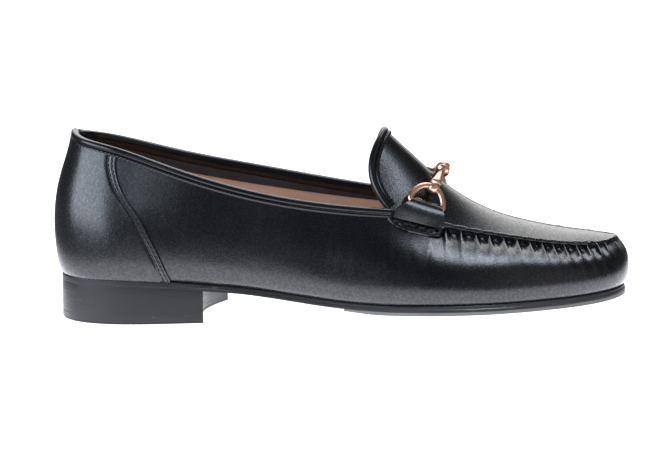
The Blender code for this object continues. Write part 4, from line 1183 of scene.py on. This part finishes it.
def leather_patch(side):
    """Points and normals of the upper round the tab, by X along the seam and distance above it."""
    u = u_at(PATCH_X, COLLAR_BACK, SEAM_TIP)
    wall_part = down_the_wall(wall_sections(u, np.full(len(u), side)), -PATCH_ABOVE[PATCH_ABOVE <= 0.0])
    sigma = np.maximum((u - THROAT) / (TOE_CORNER - THROAT), 0.0)[:, None]
    edge = apron(sigma, np.full_like(sigma, side))
    inner = apron(sigma, np.full_like(sigma, side * (1.0 - PACE_SHARE)))
    pace = np.linalg.norm(inner - edge, axis=-1) / PACE_SHARE
    high = PATCH_ABOVE[PATCH_ABOVE > 0.0]
    apron_part = apron(sigma, side * (1.0 - high[None, :] / pace))
    apron_part[..., 0] += np.minimum(PATCH_X - along(THROAT, COLLAR_BACK, SEAM_TIP), 0.0)[:, None]
    points = np.concatenate((wall_part, apron_part), axis=1)
    soft = points.copy()
    for _ in range(PATCH_SOFTENING):
        soft[1:-1, 1:-1] = (soft[:-2, 1:-1] + soft[2:, 1:-1] + soft[1:-1, :-2] + soft[1:-1, 2:]) / 4.0
    return points, grid_normals(soft) * -side


def look_up(table, x, above):
    """Values of a patch between its grid points."""
    i = np.clip((x - PATCH_X[0]) / PATCH_STEP, 0, len(PATCH_X) - LAST_CELL)
    j = np.clip((above - PATCH_ABOVE[0]) / PATCH_STEP, 0, len(PATCH_ABOVE) - LAST_CELL)
    i0, j0 = i.astype(int), j.astype(int)
    a, b = (i - i0)[..., None], (j - j0)[..., None]
    return ((1 - a) * (1 - b) * table[i0, j0] + a * (1 - b) * table[i0 + 1, j0]
            + (1 - a) * b * table[i0, j0 + 1] + a * b * table[i0 + 1, j0 + 1])


patches = {side: leather_patch(side) for side in (LATERAL, MEDIAL)}
flap_left, flap_right = curves_through(FLAP_ROWS)
print("patches", patches[LATERAL][0].shape)

# %% The ring's place
TAB_THICK, TAB_LIFT, GAP = 1.2, 0.6, 0.3
WIRE, RING_RADIUS, RING_HIGH, RING_CORNER = 1.4, 7.9, 9.8, 1.6
RING_TILT = math.radians(12.0)
RingEnd = namedtuple("RingEnd", "x above")
RING_ENDS = (RingEnd(162.6, 8.1), RingEnd(177.4, 4.9))


def ring_frame(side):
    """Where the ring's straight wire lies in the tab's fold: its middle, and its along, up and out axes."""
    points, normals = patches[side]
    at = np.array([(end.x, end.above) for end in RING_ENDS])
    ends = look_up(points, at[:, 0], at[:, 1])
    ends = ends + unit(look_up(normals, at[:, 0], at[:, 1])) * (TAB_LIFT + TAB_THICK + GAP + WIRE)
    middle = ends.mean(axis=0)
    forward = unit(ends[1] - ends[0])
    normal = look_up(normals, at[:, 0].mean(keepdims=True), at[:, 1].mean(keepdims=True))[0]
    lying = unit(np.cross(forward, normal) * side)
    away = np.cross(lying, forward) * side
    upward = math.cos(RING_TILT) * lying + math.sin(RING_TILT) * away
    return middle, forward, upward, np.cross(upward, forward) * side


ring_frames = {side: ring_frame(side) for side in (LATERAL, MEDIAL)}
print("lateral ring's middle", np.round(ring_frames[LATERAL][0], 2))


# %% Tab flaps and straps
SIDES = ((LATERAL, "lateral"), (MEDIAL, "medial"))
FLAP_TOP, FLAP_THICK = -0.6, 0.6
FLAP_STEPS_ACROSS, FLAP_STEPS_UP = 61, 31
# The flap's thickness at distances from its outline: a rolled border, then the sewn middle
FLAP_EDGE = (0.0, 0.15, 0.4, 0.8, 1.3, 1.9, 2.6)
FLAP_LIFT = (-0.1, 0.40, 0.70, 0.84, 0.78, 0.58, 0.55)
TAB_STITCHES = (154.6, 159.2, 162.2, 165.8, 170.2)
TAB_STITCH_ABOVE, TAB_STITCH_LIFT, TAB_THREAD = -4.9, 0.60, Thread(2.2, 0.35)
# Where the thread goes in past a stitch's middle, and how long, high and deep the pit is there
PIT_PAST, PIT_LONG, PIT_HIGH, PIT_DEEP = 1.6, 0.8, 0.9, 0.5
STRAP_FOOT, STRAP_LEFT, STRAP_RIGHT = -3.7, 153.4, 175.6
STRAP_SLANT, STRAP_SLANT_EDGE = math.radians(45.0), math.radians(30.0)
STRAP_ACROSS, STRAP_UP, FOLD_STEPS = 41, 32, 40
STRAP_FOOT_HANDLE, STRAP_FOLD_HANDLE = 0.40, 0.42
STRAP_CLEAR = 1.6           # the least distance of its outer face from the leather
STRAP_SHOULDER = 8.6        # half its width below the crest, where it is as wide as the ring
STRAP_BEVEL = 0.25
# The strap's outer face over the wire, by the turn from upright in degrees: a groove behind the crest, then
# a narrower back edge that passes between the ring's limbs
Fold = namedtuple("Fold", "turn radius half")
FOLD = (
    Fold(-100.0, 2.3, 5.3), Fold(-20.0, 2.35, 5.3), Fold(12.0, 2.4, 5.3), Fold(35.0, 2.1, 5.6),
    Fold(50.0, 2.1, 6.2),
)
fold_radius, fold_half = curves_through(FOLD, level_slopes)


def make_flap(side):
    """The rounded flap, with its rolled border and a pit at each stitch."""
    points, normals = patches[side]
    above = np.linspace(FLAP_ROWS[0].above, FLAP_TOP, FLAP_STEPS_UP)[None, :]
    share = np.linspace(0.0, 1.0, FLAP_STEPS_ACROSS)[:, None]
    x = flap_left(above) * (1 - share) + flap_right(above) * share
    above = np.broadcast_to(above, x.shape)
    rim_x = np.concatenate((x[0], x[-1], x[:, 0]))
    rim_above = np.concatenate((above[0], above[-1], above[:, 0]))
    apart = np.hypot(x[..., None] - rim_x, above[..., None] - rim_above)
    lift_by = np.interp(apart.min(axis=-1), FLAP_EDGE, FLAP_LIFT)
    for stitch in TAB_STITCHES:
        off = ((x - stitch - PIT_PAST) / PIT_LONG) ** 2 + ((above - TAB_STITCH_ABOVE) / PIT_HIGH) ** 2
        lift_by = lift_by - PIT_DEEP * np.exp(-off)
    surface = look_up(points, x, above) + lift_by[..., None] * unit(look_up(normals, x, above))
    return surface if side == LATERAL else surface[::-1]


def clear_of_leather(body, points, normals):
    """Lifts what lies too near the leather of the patch."""
    spots, ups = points.reshape(-1, 3), unit(normals.reshape(-1, 3))
    lifted = body.copy()
    for column in range(len(body)):
        nearest = np.argmin(np.linalg.norm(body[column][:, None, :] - spots[None], axis=2), axis=1)
        high = np.sum((body[column] - spots[nearest]) * ups[nearest], axis=1)
        lifted[column] += np.maximum(STRAP_CLEAR - high, 0.0)[:, None] * ups[nearest]
    return lifted


def make_strap(side):
    """The strap: it leaves the flap at a slant, domes up to the ring's wire and turns round it."""
    points, normals = patches[side]
    middle, forward, upward, out = ring_frames[side]
    share = np.linspace(0.0, 1.0, STRAP_ACROSS)
    level = np.full(STRAP_ACROSS, STRAP_FOOT)
    x = STRAP_LEFT * (1 - share) + STRAP_RIGHT * share
    normal = unit(look_up(normals, x, level))
    climb = unit(look_up(points, x, level + 1.0) - look_up(points, x, level - 1.0))
    foot = look_up(points, x, level) + normal * (TAB_LIFT + TAB_THICK)
    middling = 1.0 - (2.0 * share - 1.0) ** 2
    slant = (STRAP_SLANT_EDGE + (STRAP_SLANT - STRAP_SLANT_EDGE) * middling)[:, None]
    foot_way = np.cos(slant) * climb + np.sin(slant) * normal
    turns = np.linspace(FOLD[-1].turn, FOLD[0].turn, FOLD_STEPS)
    swing = np.radians(turns)[:, None]
    round_wire = fold_radius(turns)[:, None] * (np.cos(swing) * upward + np.sin(swing) * out)
    along_wire = fold_half(turns)[None, :, None] * (2.0 * share - 1.0)[:, None, None] * forward
    fold = middle + along_wire + round_wire
    fold_at = fold[:, 0]
    fold_way = unit(np.cross(forward, round_wire[0]) * side)
    reach = np.linalg.norm(fold_at - foot, axis=1)[:, None]
    shoulder = fold_at + ((STRAP_SHOULDER - FOLD[-1].half) * (2.0 * share - 1.0))[:, None] * forward
    t = np.linspace(0.0, 1.0, STRAP_UP)[None, :, None]
    body = bezier(foot[:, None], (foot + STRAP_FOOT_HANDLE * reach * foot_way)[:, None],
                  (shoulder - STRAP_FOLD_HANDLE * reach * fold_way)[:, None], fold_at[:, None], t)
    strap = np.concatenate((clear_of_leather(body, points, normals), fold[:, 1:]), axis=1)
    return strap if side == LATERAL else strap[::-1]


straps = {}
for side, word in SIDES:
    flap = lay_grid("tab_flap_" + word, make_flap(side))
    thicken(flap, FLAP_THICK)
    finish_piece(flap, black_calf, "upper_leather", "tab_" + word, angle=70.0)
    strap = lay_grid("tab_strap_" + word, make_strap(side))
    thicken(strap, SHEET_THICK)
    apply_modifier(strap, "BEVEL", width=STRAP_BEVEL * MM, segments=3, limit_method="ANGLE",
                   angle_limit=math.radians(50.0))
    finish_piece(strap, black_calf, "upper_leather", "tab_" + word, angle=60.0)
    straps[side] = strap
    points, normals = patches[side]
    stitch_x = np.array(TAB_STITCHES)
    level = np.full(len(stitch_x), TAB_STITCH_ABOVE)
    stitch_up = unit(look_up(normals, stitch_x, level))
    stitch_at = look_up(points, stitch_x, level) + TAB_STITCH_LIFT * stitch_up
    stitch_way = look_up(points, stitch_x + 1.0, level) - look_up(points, stitch_x - 1.0, level)
    sew("tab_stitches_" + word, stitch_at, stitch_way, stitch_up, TAB_THREAD)

# A light for the lateral strap alone gives the soft highlight on its dome
softbox("strap_light", (0.606, -0.655, 0.578), (0.0385, -0.0247, 0.048), 0.50, 0.50, 8.0,
        only=straps[LATERAL])

# %% [markdown]
# ## The bit
# Two half rings of wire hang in the straps, a turned bar hangs on each ring by an eye, and a small open link
# joins the bars over the instep. The ring is a circle carried round a D. A bar is turned as on a lathe: a
# circle is extruded along its axis and resized at each step. The eye and the link start as a torus.

# %% Rings
WIRE_SIDES = 20
ARCH_STEPS, CORNER_STEPS = 60, 14


def arc(centre_x, centre_y, radius, turns):
    return np.stack((centre_x + radius * np.cos(turns), centre_y + radius * np.sin(turns)), axis=-1)


def ring_path(side):
    """The D of the ring's wire: a round arch, two tight corners and the straight run between them."""
    middle, forward, upward, _ = ring_frames[side]
    lowest = math.asin(RING_CORNER / (RING_RADIUS - RING_CORNER))
    corner = (RING_RADIUS - RING_CORNER) * math.cos(lowest)
    arch = np.linspace(lowest, math.pi - lowest, ARCH_STEPS)
    left = np.linspace(math.pi - lowest, 1.5 * math.pi, CORNER_STEPS)[1:]
    right_turn = np.linspace(-0.5 * math.pi, lowest, CORNER_STEPS)[:-1]
    flat = np.concatenate((arc(0.0, 0.0, RING_RADIUS, arch), arc(-corner, RING_CORNER, RING_CORNER, left),
                           arc(corner, RING_CORNER, RING_CORNER, right_turn)))
    return middle + flat[:, :1] * forward + flat[:, 1:] * RING_HIGH / RING_RADIUS * upward


def make_ring(side, word):
    path = ring_path(side)
    out = ring_frames[side][3]
    way = unit(np.roll(path, -1, axis=0) - np.roll(path, 1, axis=0))
    across = unit(np.cross(way, out))
    turns = np.linspace(0.0, 2.0 * math.pi, WIRE_SIDES + 1)
    tube = path[:, None, :] + WIRE * (np.cos(turns)[None, :, None] * across[:, None, :]
                                      + np.sin(turns)[None, :, None] * out)
    ring = lay_grid("ring_" + word, close_ring(tube))
    weld(ring, outward=True)
    finish_piece(ring, rose_gold, "bit_metal", "bit_ring_" + word, angle=60.0)


# %% Bars and link
EYE_ANGLE = math.radians(81.0)
EYE_WIRE, EYE_WIDE, EYE_SLACK = 0.75, 2.5, 0.1
BIT_MIDDLE = np.array((176.6, 0.0, 63.2))
BAR_ROOT, BAR_NECK, BAR_BELL, BAR_SIDES = 2.6, 1.3, 3.3, 28
LINK_LENGTH, LINK_RADIUS, LINK_WIRE, LINK_STRETCH = 3.6, 1.2, 0.45, (1.15, 1.25, 1.2)
LINK_OFF_MIDDLE, LINK_WAY = (1.2, 0.0, 0.7), (0.25, 1.0, 0.15)
Turned = namedtuple("Turned", "place radius")


def stand_along(piece, start, way):
    """Turns a piece modelled along Z so that it runs along a way from a start, and applies it."""
    pick(piece)
    turn = Vector(way).to_track_quat("Z", "Y").to_matrix().to_4x4()
    piece.matrix_world = Matrix.Translation(Vector(to_row(start))) @ turn
    bpy.ops.object.transform_apply(location=True, rotation=True, scale=True)


def lathe(name, shape, start, way):
    """A circle extruded along its axis and resized at every step of the shape, closed at both ends."""
    bpy.ops.object.select_all(action="DESELECT")
    bpy.ops.mesh.primitive_circle_add(vertices=BAR_SIDES, radius=shape[0].radius * MM, fill_type="NGON")
    piece = bpy.context.object
    piece.name = piece.data.name = name
    bpy.ops.object.mode_set(mode="EDIT")
    bpy.ops.mesh.select_all(action="SELECT")
    for before, after in zip(shape, shape[1:]):
        bpy.ops.mesh.extrude_region_move(
            TRANSFORM_OT_translate={"value": (0.0, 0.0, (after.place - before.place) * MM)})
        grow = after.radius / before.radius
        bpy.ops.transform.resize(value=(grow, grow, 1.0))
    bpy.ops.mesh.select_all(action="SELECT")
    bpy.ops.mesh.normals_make_consistent(inside=False)
    bpy.ops.object.mode_set(mode="OBJECT")
    stand_along(piece, start, way)
    return piece


def wire_loop(name, radius, wire, stretch, centre, way):
    """A torus stretched along its axes, with its hole along a way."""
    bpy.ops.object.select_all(action="DESELECT")
    bpy.ops.mesh.primitive_torus_add(major_radius=radius * MM, minor_radius=wire * MM, major_segments=36,
                                     minor_segments=16)
    loop = bpy.context.object
    loop.name = loop.data.name = name
    bpy.ops.object.mode_set(mode="EDIT")
    bpy.ops.mesh.select_all(action="SELECT")
    bpy.ops.transform.resize(value=stretch)
    bpy.ops.object.mode_set(mode="OBJECT")
    stand_along(loop, centre, way)
    return loop


def make_bar(side, word):
    """The turned bar with its bell, and the barrel-shaped eye that the ring's wire runs through."""
    middle, forward, upward, _ = ring_frames[side]
    eye = middle + RING_RADIUS * math.cos(EYE_ANGLE) * forward + RING_HIGH * math.sin(EYE_ANGLE) * upward
    wire_way = RING_HIGH * math.cos(EYE_ANGLE) * upward - RING_RADIUS * math.sin(EYE_ANGLE) * forward
    way = unit(BIT_MIDDLE - eye)
    eye_radius = WIRE + EYE_SLACK + EYE_WIRE
    start = eye + way * eye_radius
    length = float(np.linalg.norm(BIT_MIDDLE - way * (LINK_LENGTH / 2.0 + GAP) - start))
    shape = (
        Turned(-0.6, 1.5), Turned(0.0, 2.2), Turned(0.5, BAR_ROOT), Turned(1.2, BAR_ROOT), Turned(2.2, 2.35),
        Turned(length * 0.45, 1.75), Turned(length - 3.4, BAR_NECK), Turned(length - 2.7, BAR_NECK + 0.1),
        Turned(length - 2.1, 2.0), Turned(length - 1.7, 2.9), Turned(length - 1.2, BAR_BELL),
        Turned(length - 0.6, BAR_BELL - 0.1), Turned(length - 0.2, 2.6), Turned(length, 1.6),
    )
    bar = lathe("bar_" + word, shape, start, way)
    join(bar, wire_loop("eye_" + word, eye_radius, EYE_WIRE, (1.0, 1.0, EYE_WIDE), eye, wire_way))
    finish_piece(bar, rose_gold, "bit_metal", "bit_bar_" + word, angle=50.0)


for side, word in SIDES:
    make_ring(side, word)
    make_bar(side, word)
link = wire_loop("link", LINK_RADIUS, LINK_WIRE, LINK_STRETCH, BIT_MIDDLE + LINK_OFF_MIDDLE, LINK_WAY)
finish_piece(link, rose_gold, "bit_metal", "bit_link", angle=60.0)


# %% [markdown]
# ## Lining and facing
# Inside, the shoe is lined with tan leather, and a black facing band runs below the collar. They are the
# wall's own sections set inwards by the leather's thickness, and seen through the opening.

# %% Lining of the quarters
Facing = namedtuple("Facing", "u high")
FACING = (Facing(0.0, 9.0), Facing(0.3, 8.4), Facing(0.4, 8.0), Facing(0.5, 6.6), Facing(THROAT, 5.6))
facing_high, = curves_through(FACING)
LINING_TOP, LINING_FOOT = 1.0, 0.2        # how far the lining stays below the top line and above the sole
LINING_COLUMNS, LINING_ROWS = 161, 30
LINING_SEAT, LINING_THICK, THIN_LINING = 0.1, 0.5, 0.4
lining_half = np.linspace(0.0, 1.0, LINING_COLUMNS)
lining_u, lining_side = full_round(lining_half, lining_half)
lining_wall = wall_sections(lining_u, lining_side)
lining_long = lining_wall[1][:, -1:] - (LINING_TOP + LINING_FOOT)
lining_below = LINING_TOP + lining_long * np.linspace(0.0, 1.0, LINING_ROWS)
lining_points = down_the_wall(lining_wall, lining_below)
lining_in = grid_normals(lining_points, wrap=True)
gathered, pulled_in = tuck(lining_u, lining_points[..., 0], lining_below)
lining_deep = WALL - LINING_SEAT + gathered * pulled_in
lining = lay_grid("quarter_lining", close_ring(lining_points + lining_deep[..., None] * lining_in))
weld(lining)
thicken(lining, LINING_THICK)
finish_piece(lining, tan_lining, "lining_leather", "upper", angle=60.0)

# %% Black facing below the collar
FACING_COLUMNS, FACING_ROWS, FACING_SEAT = 120, 10, 0.35
facing_u, facing_side = round_the_heel(THROAT, FACING_COLUMNS)
facing_rows = np.linspace(0.0, 1.0, FACING_ROWS)
facing_below = LINING_TOP + (facing_high(facing_u)[:, None] - LINING_TOP) * facing_rows
facing_points = down_the_wall(wall_sections(facing_u, facing_side), facing_below)
facing = lay_grid("collar_facing", facing_points - (WALL + FACING_SEAT) * grid_normals(facing_points))
thicken(facing, THIN_LINING, offset=0.0)
finish_piece(facing, facing_calf, "upper_leather", "upper", angle=60.0)

# %% Lining of the apron
VAMP_DEEP = 1.6
vamp_inside = (apron_points - VAMP_DEEP * apron_normals)[::4, 2:-2:3]
vamp_lining = lay_grid("vamp_lining", vamp_inside[:, ::-1])
thicken(vamp_lining, THIN_LINING)
finish_piece(vamp_lining, tan_lining, "lining_leather", "upper", angle=60.0)


# %% [markdown]
# ## Sole, heel and tread
# The outsole is a thin stained board. Past the heel its edge leans in towards the top, with a fine shoulder
# run along it. Under the forepart lies a thin pale rubber tread, and under the seat a low stacked heel with
# a hollow breast. Board and heel are rings from a middle out to an edge, laid like the leather panels.

# %% Outsole
SOLE_COLUMNS = 400
# A row's share is its way out from the middle, or up the side; lean is its part of the edge's lean
SoleRow = namedtuple("SoleRow", "face share inset lean", defaults=(0.0,))
SOLE_ROWS = (
    SoleRow("top", 0.0, 0.0, 1.0), SoleRow("top", 0.5, 0.0, 1.0), SoleRow("top", 0.9, 0.0, 1.0),
    SoleRow("top", 1.0, 0.35, 1.0), SoleRow("side", 0.97, 0.18, 1.0), SoleRow("side", 0.90, 0.06, 0.95),
    SoleRow("side", 0.75, 0.0, 0.85), SoleRow("side", 0.60, 0.0, 0.75), SoleRow("side", 0.50, 0.0, 0.68),
    SoleRow("side", 0.46, 0.0, 0.60), SoleRow("side", 0.42, 0.0, 0.46), SoleRow("side", 0.38, 0.0, 0.34),
    SoleRow("side", 0.32, 0.0, 0.26), SoleRow("side", 0.20, 0.0, 0.16), SoleRow("side", 0.10, 0.0, 0.08),
    SoleRow("side", 0.03, 0.03), SoleRow("under", 1.0, 0.12), SoleRow("under", 0.9, 0.0),
    SoleRow("under", 0.6, 0.0), SoleRow("under", 0.3, 0.0), SoleRow("under", 0.0, 0.0),
)
EDGE_LEAN = 0.65                          # how far the top of the edge leans in, past the heel
LEAN_FROM, LEAN_OVER = 0.12, 0.25         # where along the shoe it starts to lean, and over what length


def board_rows(rows, outline, middle, height):
    """Rows over a board's top, round its edge and below, from its outline at each row and its heights."""
    made = []
    for row in rows:
        rise = {"top": 1.0, "under": 0.0, "side": row.share}[row.face]
        x, y = outline(row, rise)
        if row.face != "side":
            x = middle[0] * (1 - row.share) + x * row.share
            y = middle[1] * (1 - row.share) + y * row.share
        made.append(np.stack((x, y, height(x, y, rise)), axis=-1))
    return close_ring(np.stack(made, axis=1))


def sole_board(rows, columns, base, thickness, inset=0.0, lean=0.0):
    """A board that follows the sole's underside."""
    half = np.linspace(0.0, 1.0, columns // 2 + 1)
    u, side = full_round(half, half)
    middle = along(u, SOLE_BACK + MIDDLE_MARGIN, SOLE_TIP - MIDDLE_MARGIN), middle_y(u)
    leaning = lean * ease((u - LEAN_FROM) / LEAN_OVER)

    def outline(row, _):
        return sole_edge(u, side, inset + row.inset + leaning * row.lean)

    def height(x, y, rise):
        return under_height(x, y) + base + rise * thickness

    return board_rows(rows, outline, middle, height)


outsole = lay_grid("sole_board", sole_board(SOLE_ROWS, SOLE_COLUMNS, 0.0, SOLE_THICK, lean=EDGE_LEAN))
weld(outsole, outward=True)
finish_piece(outsole, edge_black, "sole_leather", "outsole", angle=35.0)
# A light for the sole alone picks out the fine shoulder along its edge
softbox("edge_light", (0.285, -0.604, 1.06), (0.08, -0.04, 0.006), 0.30, 0.30, 85.0, only=outsole)

# %% Insole
INSOLE_COLUMNS, INSOLE_CLEAR = 240, 0.1
INSOLE_ROWS = (
    SoleRow("top", 0.0, 0.0), SoleRow("top", 0.35, 0.0), SoleRow("top", 0.7, 0.0), SoleRow("top", 0.95, 0.0),
    SoleRow("top", 1.0, 0.3), SoleRow("side", 0.8, 0.0), SoleRow("side", 0.1, 0.0),
    SoleRow("under", 1.0, 0.1), SoleRow("under", 0.5, 0.0), SoleRow("under", 0.0, 0.0),
)
insole = lay_grid("sock", sole_board(INSOLE_ROWS, INSOLE_COLUMNS, SOLE_THICK + GAP, INSOLE_THICK,
                                     FEATHER_IN + WALL + INSOLE_CLEAR))
weld(insole, outward=True)
finish_piece(insole, tan_lining, "lining_leather", "insole", angle=40.0)

# %% Half sole
HALF_SOLE_START_LATERAL, HALF_SOLE_START_MEDIAL = 131.0, 134.0
HALF_SOLE_IN, HALF_SOLE_LAST = 0.3, 0.985
TREAD_ROWS, TREAD_COLUMNS = 150, 61
TREAD_SEAT = 0.05                         # how far its top stays below the outsole
TREAD_THIN, TREAD_THICKENS = 0.55, 14.0   # its thinness at the waist, and how many times longer the tread is
half_across = np.linspace(-1.0, 1.0, TREAD_COLUMNS)
half_along = np.linspace(0.0, 1.0, TREAD_ROWS)[:, None]
start_x = (HALF_SOLE_START_LATERAL * (1 - half_across) + HALF_SOLE_START_MEDIAL * (1 + half_across)) / 2.0
half_start = u_at(start_x, SOLE_BACK, SOLE_TIP)
half_u = half_start + (HALF_SOLE_LAST - half_start) * half_along
half_x, half_edge = sole_edge(half_u, np.where(half_across < 0, LATERAL, MEDIAL), HALF_SOLE_IN)
half_y = middle_y(half_u) + np.abs(half_across) * (half_edge - middle_y(half_u))
half_under = under_height(half_x, half_y)
half_thick = HALF_SOLE_THICK * (TREAD_THIN + (1.0 - TREAD_THIN) * ease(half_along * TREAD_THICKENS))
half_top = np.stack((half_x, half_y, half_under - TREAD_SEAT), axis=-1)
tread = np.stack((half_x, half_y, half_under - GAP - half_thick), axis=-1)
half_sole = lay_grid("tread", close_section(np.concatenate((half_top, tread[:, ::-1]), axis=1)))
weld(half_sole, distance=FINE_WELD, outward=True, fill=True)
finish_piece(half_sole, grey_rubber, "tread_rubber", "half_sole", angle=35.0)

# %% Heel
BREAST_LATERAL, BREAST_MEDIAL, BREAST_HOLLOW = 68.0, 75.0, 6.0
HEEL_FLARE, HEEL_MIDDLE = 0.6, (36.0, 0.0)
HEEL_SEAT = 0.02                          # how far its top stays below the outsole
ROUND_COLUMNS, BREAST_COLUMNS = 160, 48
HEEL_ROWS = (
    SoleRow("top", 0.0, 0.0), SoleRow("top", 0.5, 0.0), SoleRow("top", 0.97, 0.0), SoleRow("top", 1.0, 0.03),
    SoleRow("side", 0.99, 0.0), SoleRow("side", 0.75, 0.0), SoleRow("side", 0.5, 0.0),
    SoleRow("side", 0.25, 0.0), SoleRow("side", 0.06, 0.0), SoleRow("side", 0.03, 0.08),
    SoleRow("side", 0.01, 0.28), SoleRow("under", 1.0, 0.55), SoleRow("under", 0.5, 0.0),
    SoleRow("under", 0.0, 0.0),
)
corner_u = u_at(np.array((BREAST_LATERAL, BREAST_MEDIAL)), SOLE_BACK, SOLE_TIP)


def heel_outline(row, rise):
    """The heel's outline: round the back from the lateral to the medial corner, then the hollow breast."""
    share = np.linspace(-1.0, 1.0, ROUND_COLUMNS + 1)
    side = np.where(share < 0, LATERAL, MEDIAL)
    x, y = sole_edge(np.abs(share) * of_side(side, *corner_u), side, row.inset - HEEL_FLARE * (1.0 - rise))
    t = np.linspace(0.0, 1.0, BREAST_COLUMNS + 1)[1:-1]
    breast_x = x[-1] * (1 - t) + x[0] * t - BREAST_HOLLOW * 4.0 * t * (1.0 - t)
    breast_y = y[-1] * (1 - t) + y[0] * t
    return np.concatenate((x, breast_x)), np.concatenate((y, breast_y))


def heel_height(x, y, rise):
    return (under_height(x, y) - HEEL_SEAT) * rise


heel = lay_grid("heel_block", board_rows(HEEL_ROWS, heel_outline, HEEL_MIDDLE, heel_height))
weld(heel, outward=True)
finish_piece(heel, edge_black, "sole_leather", "heel", angle=35.0)
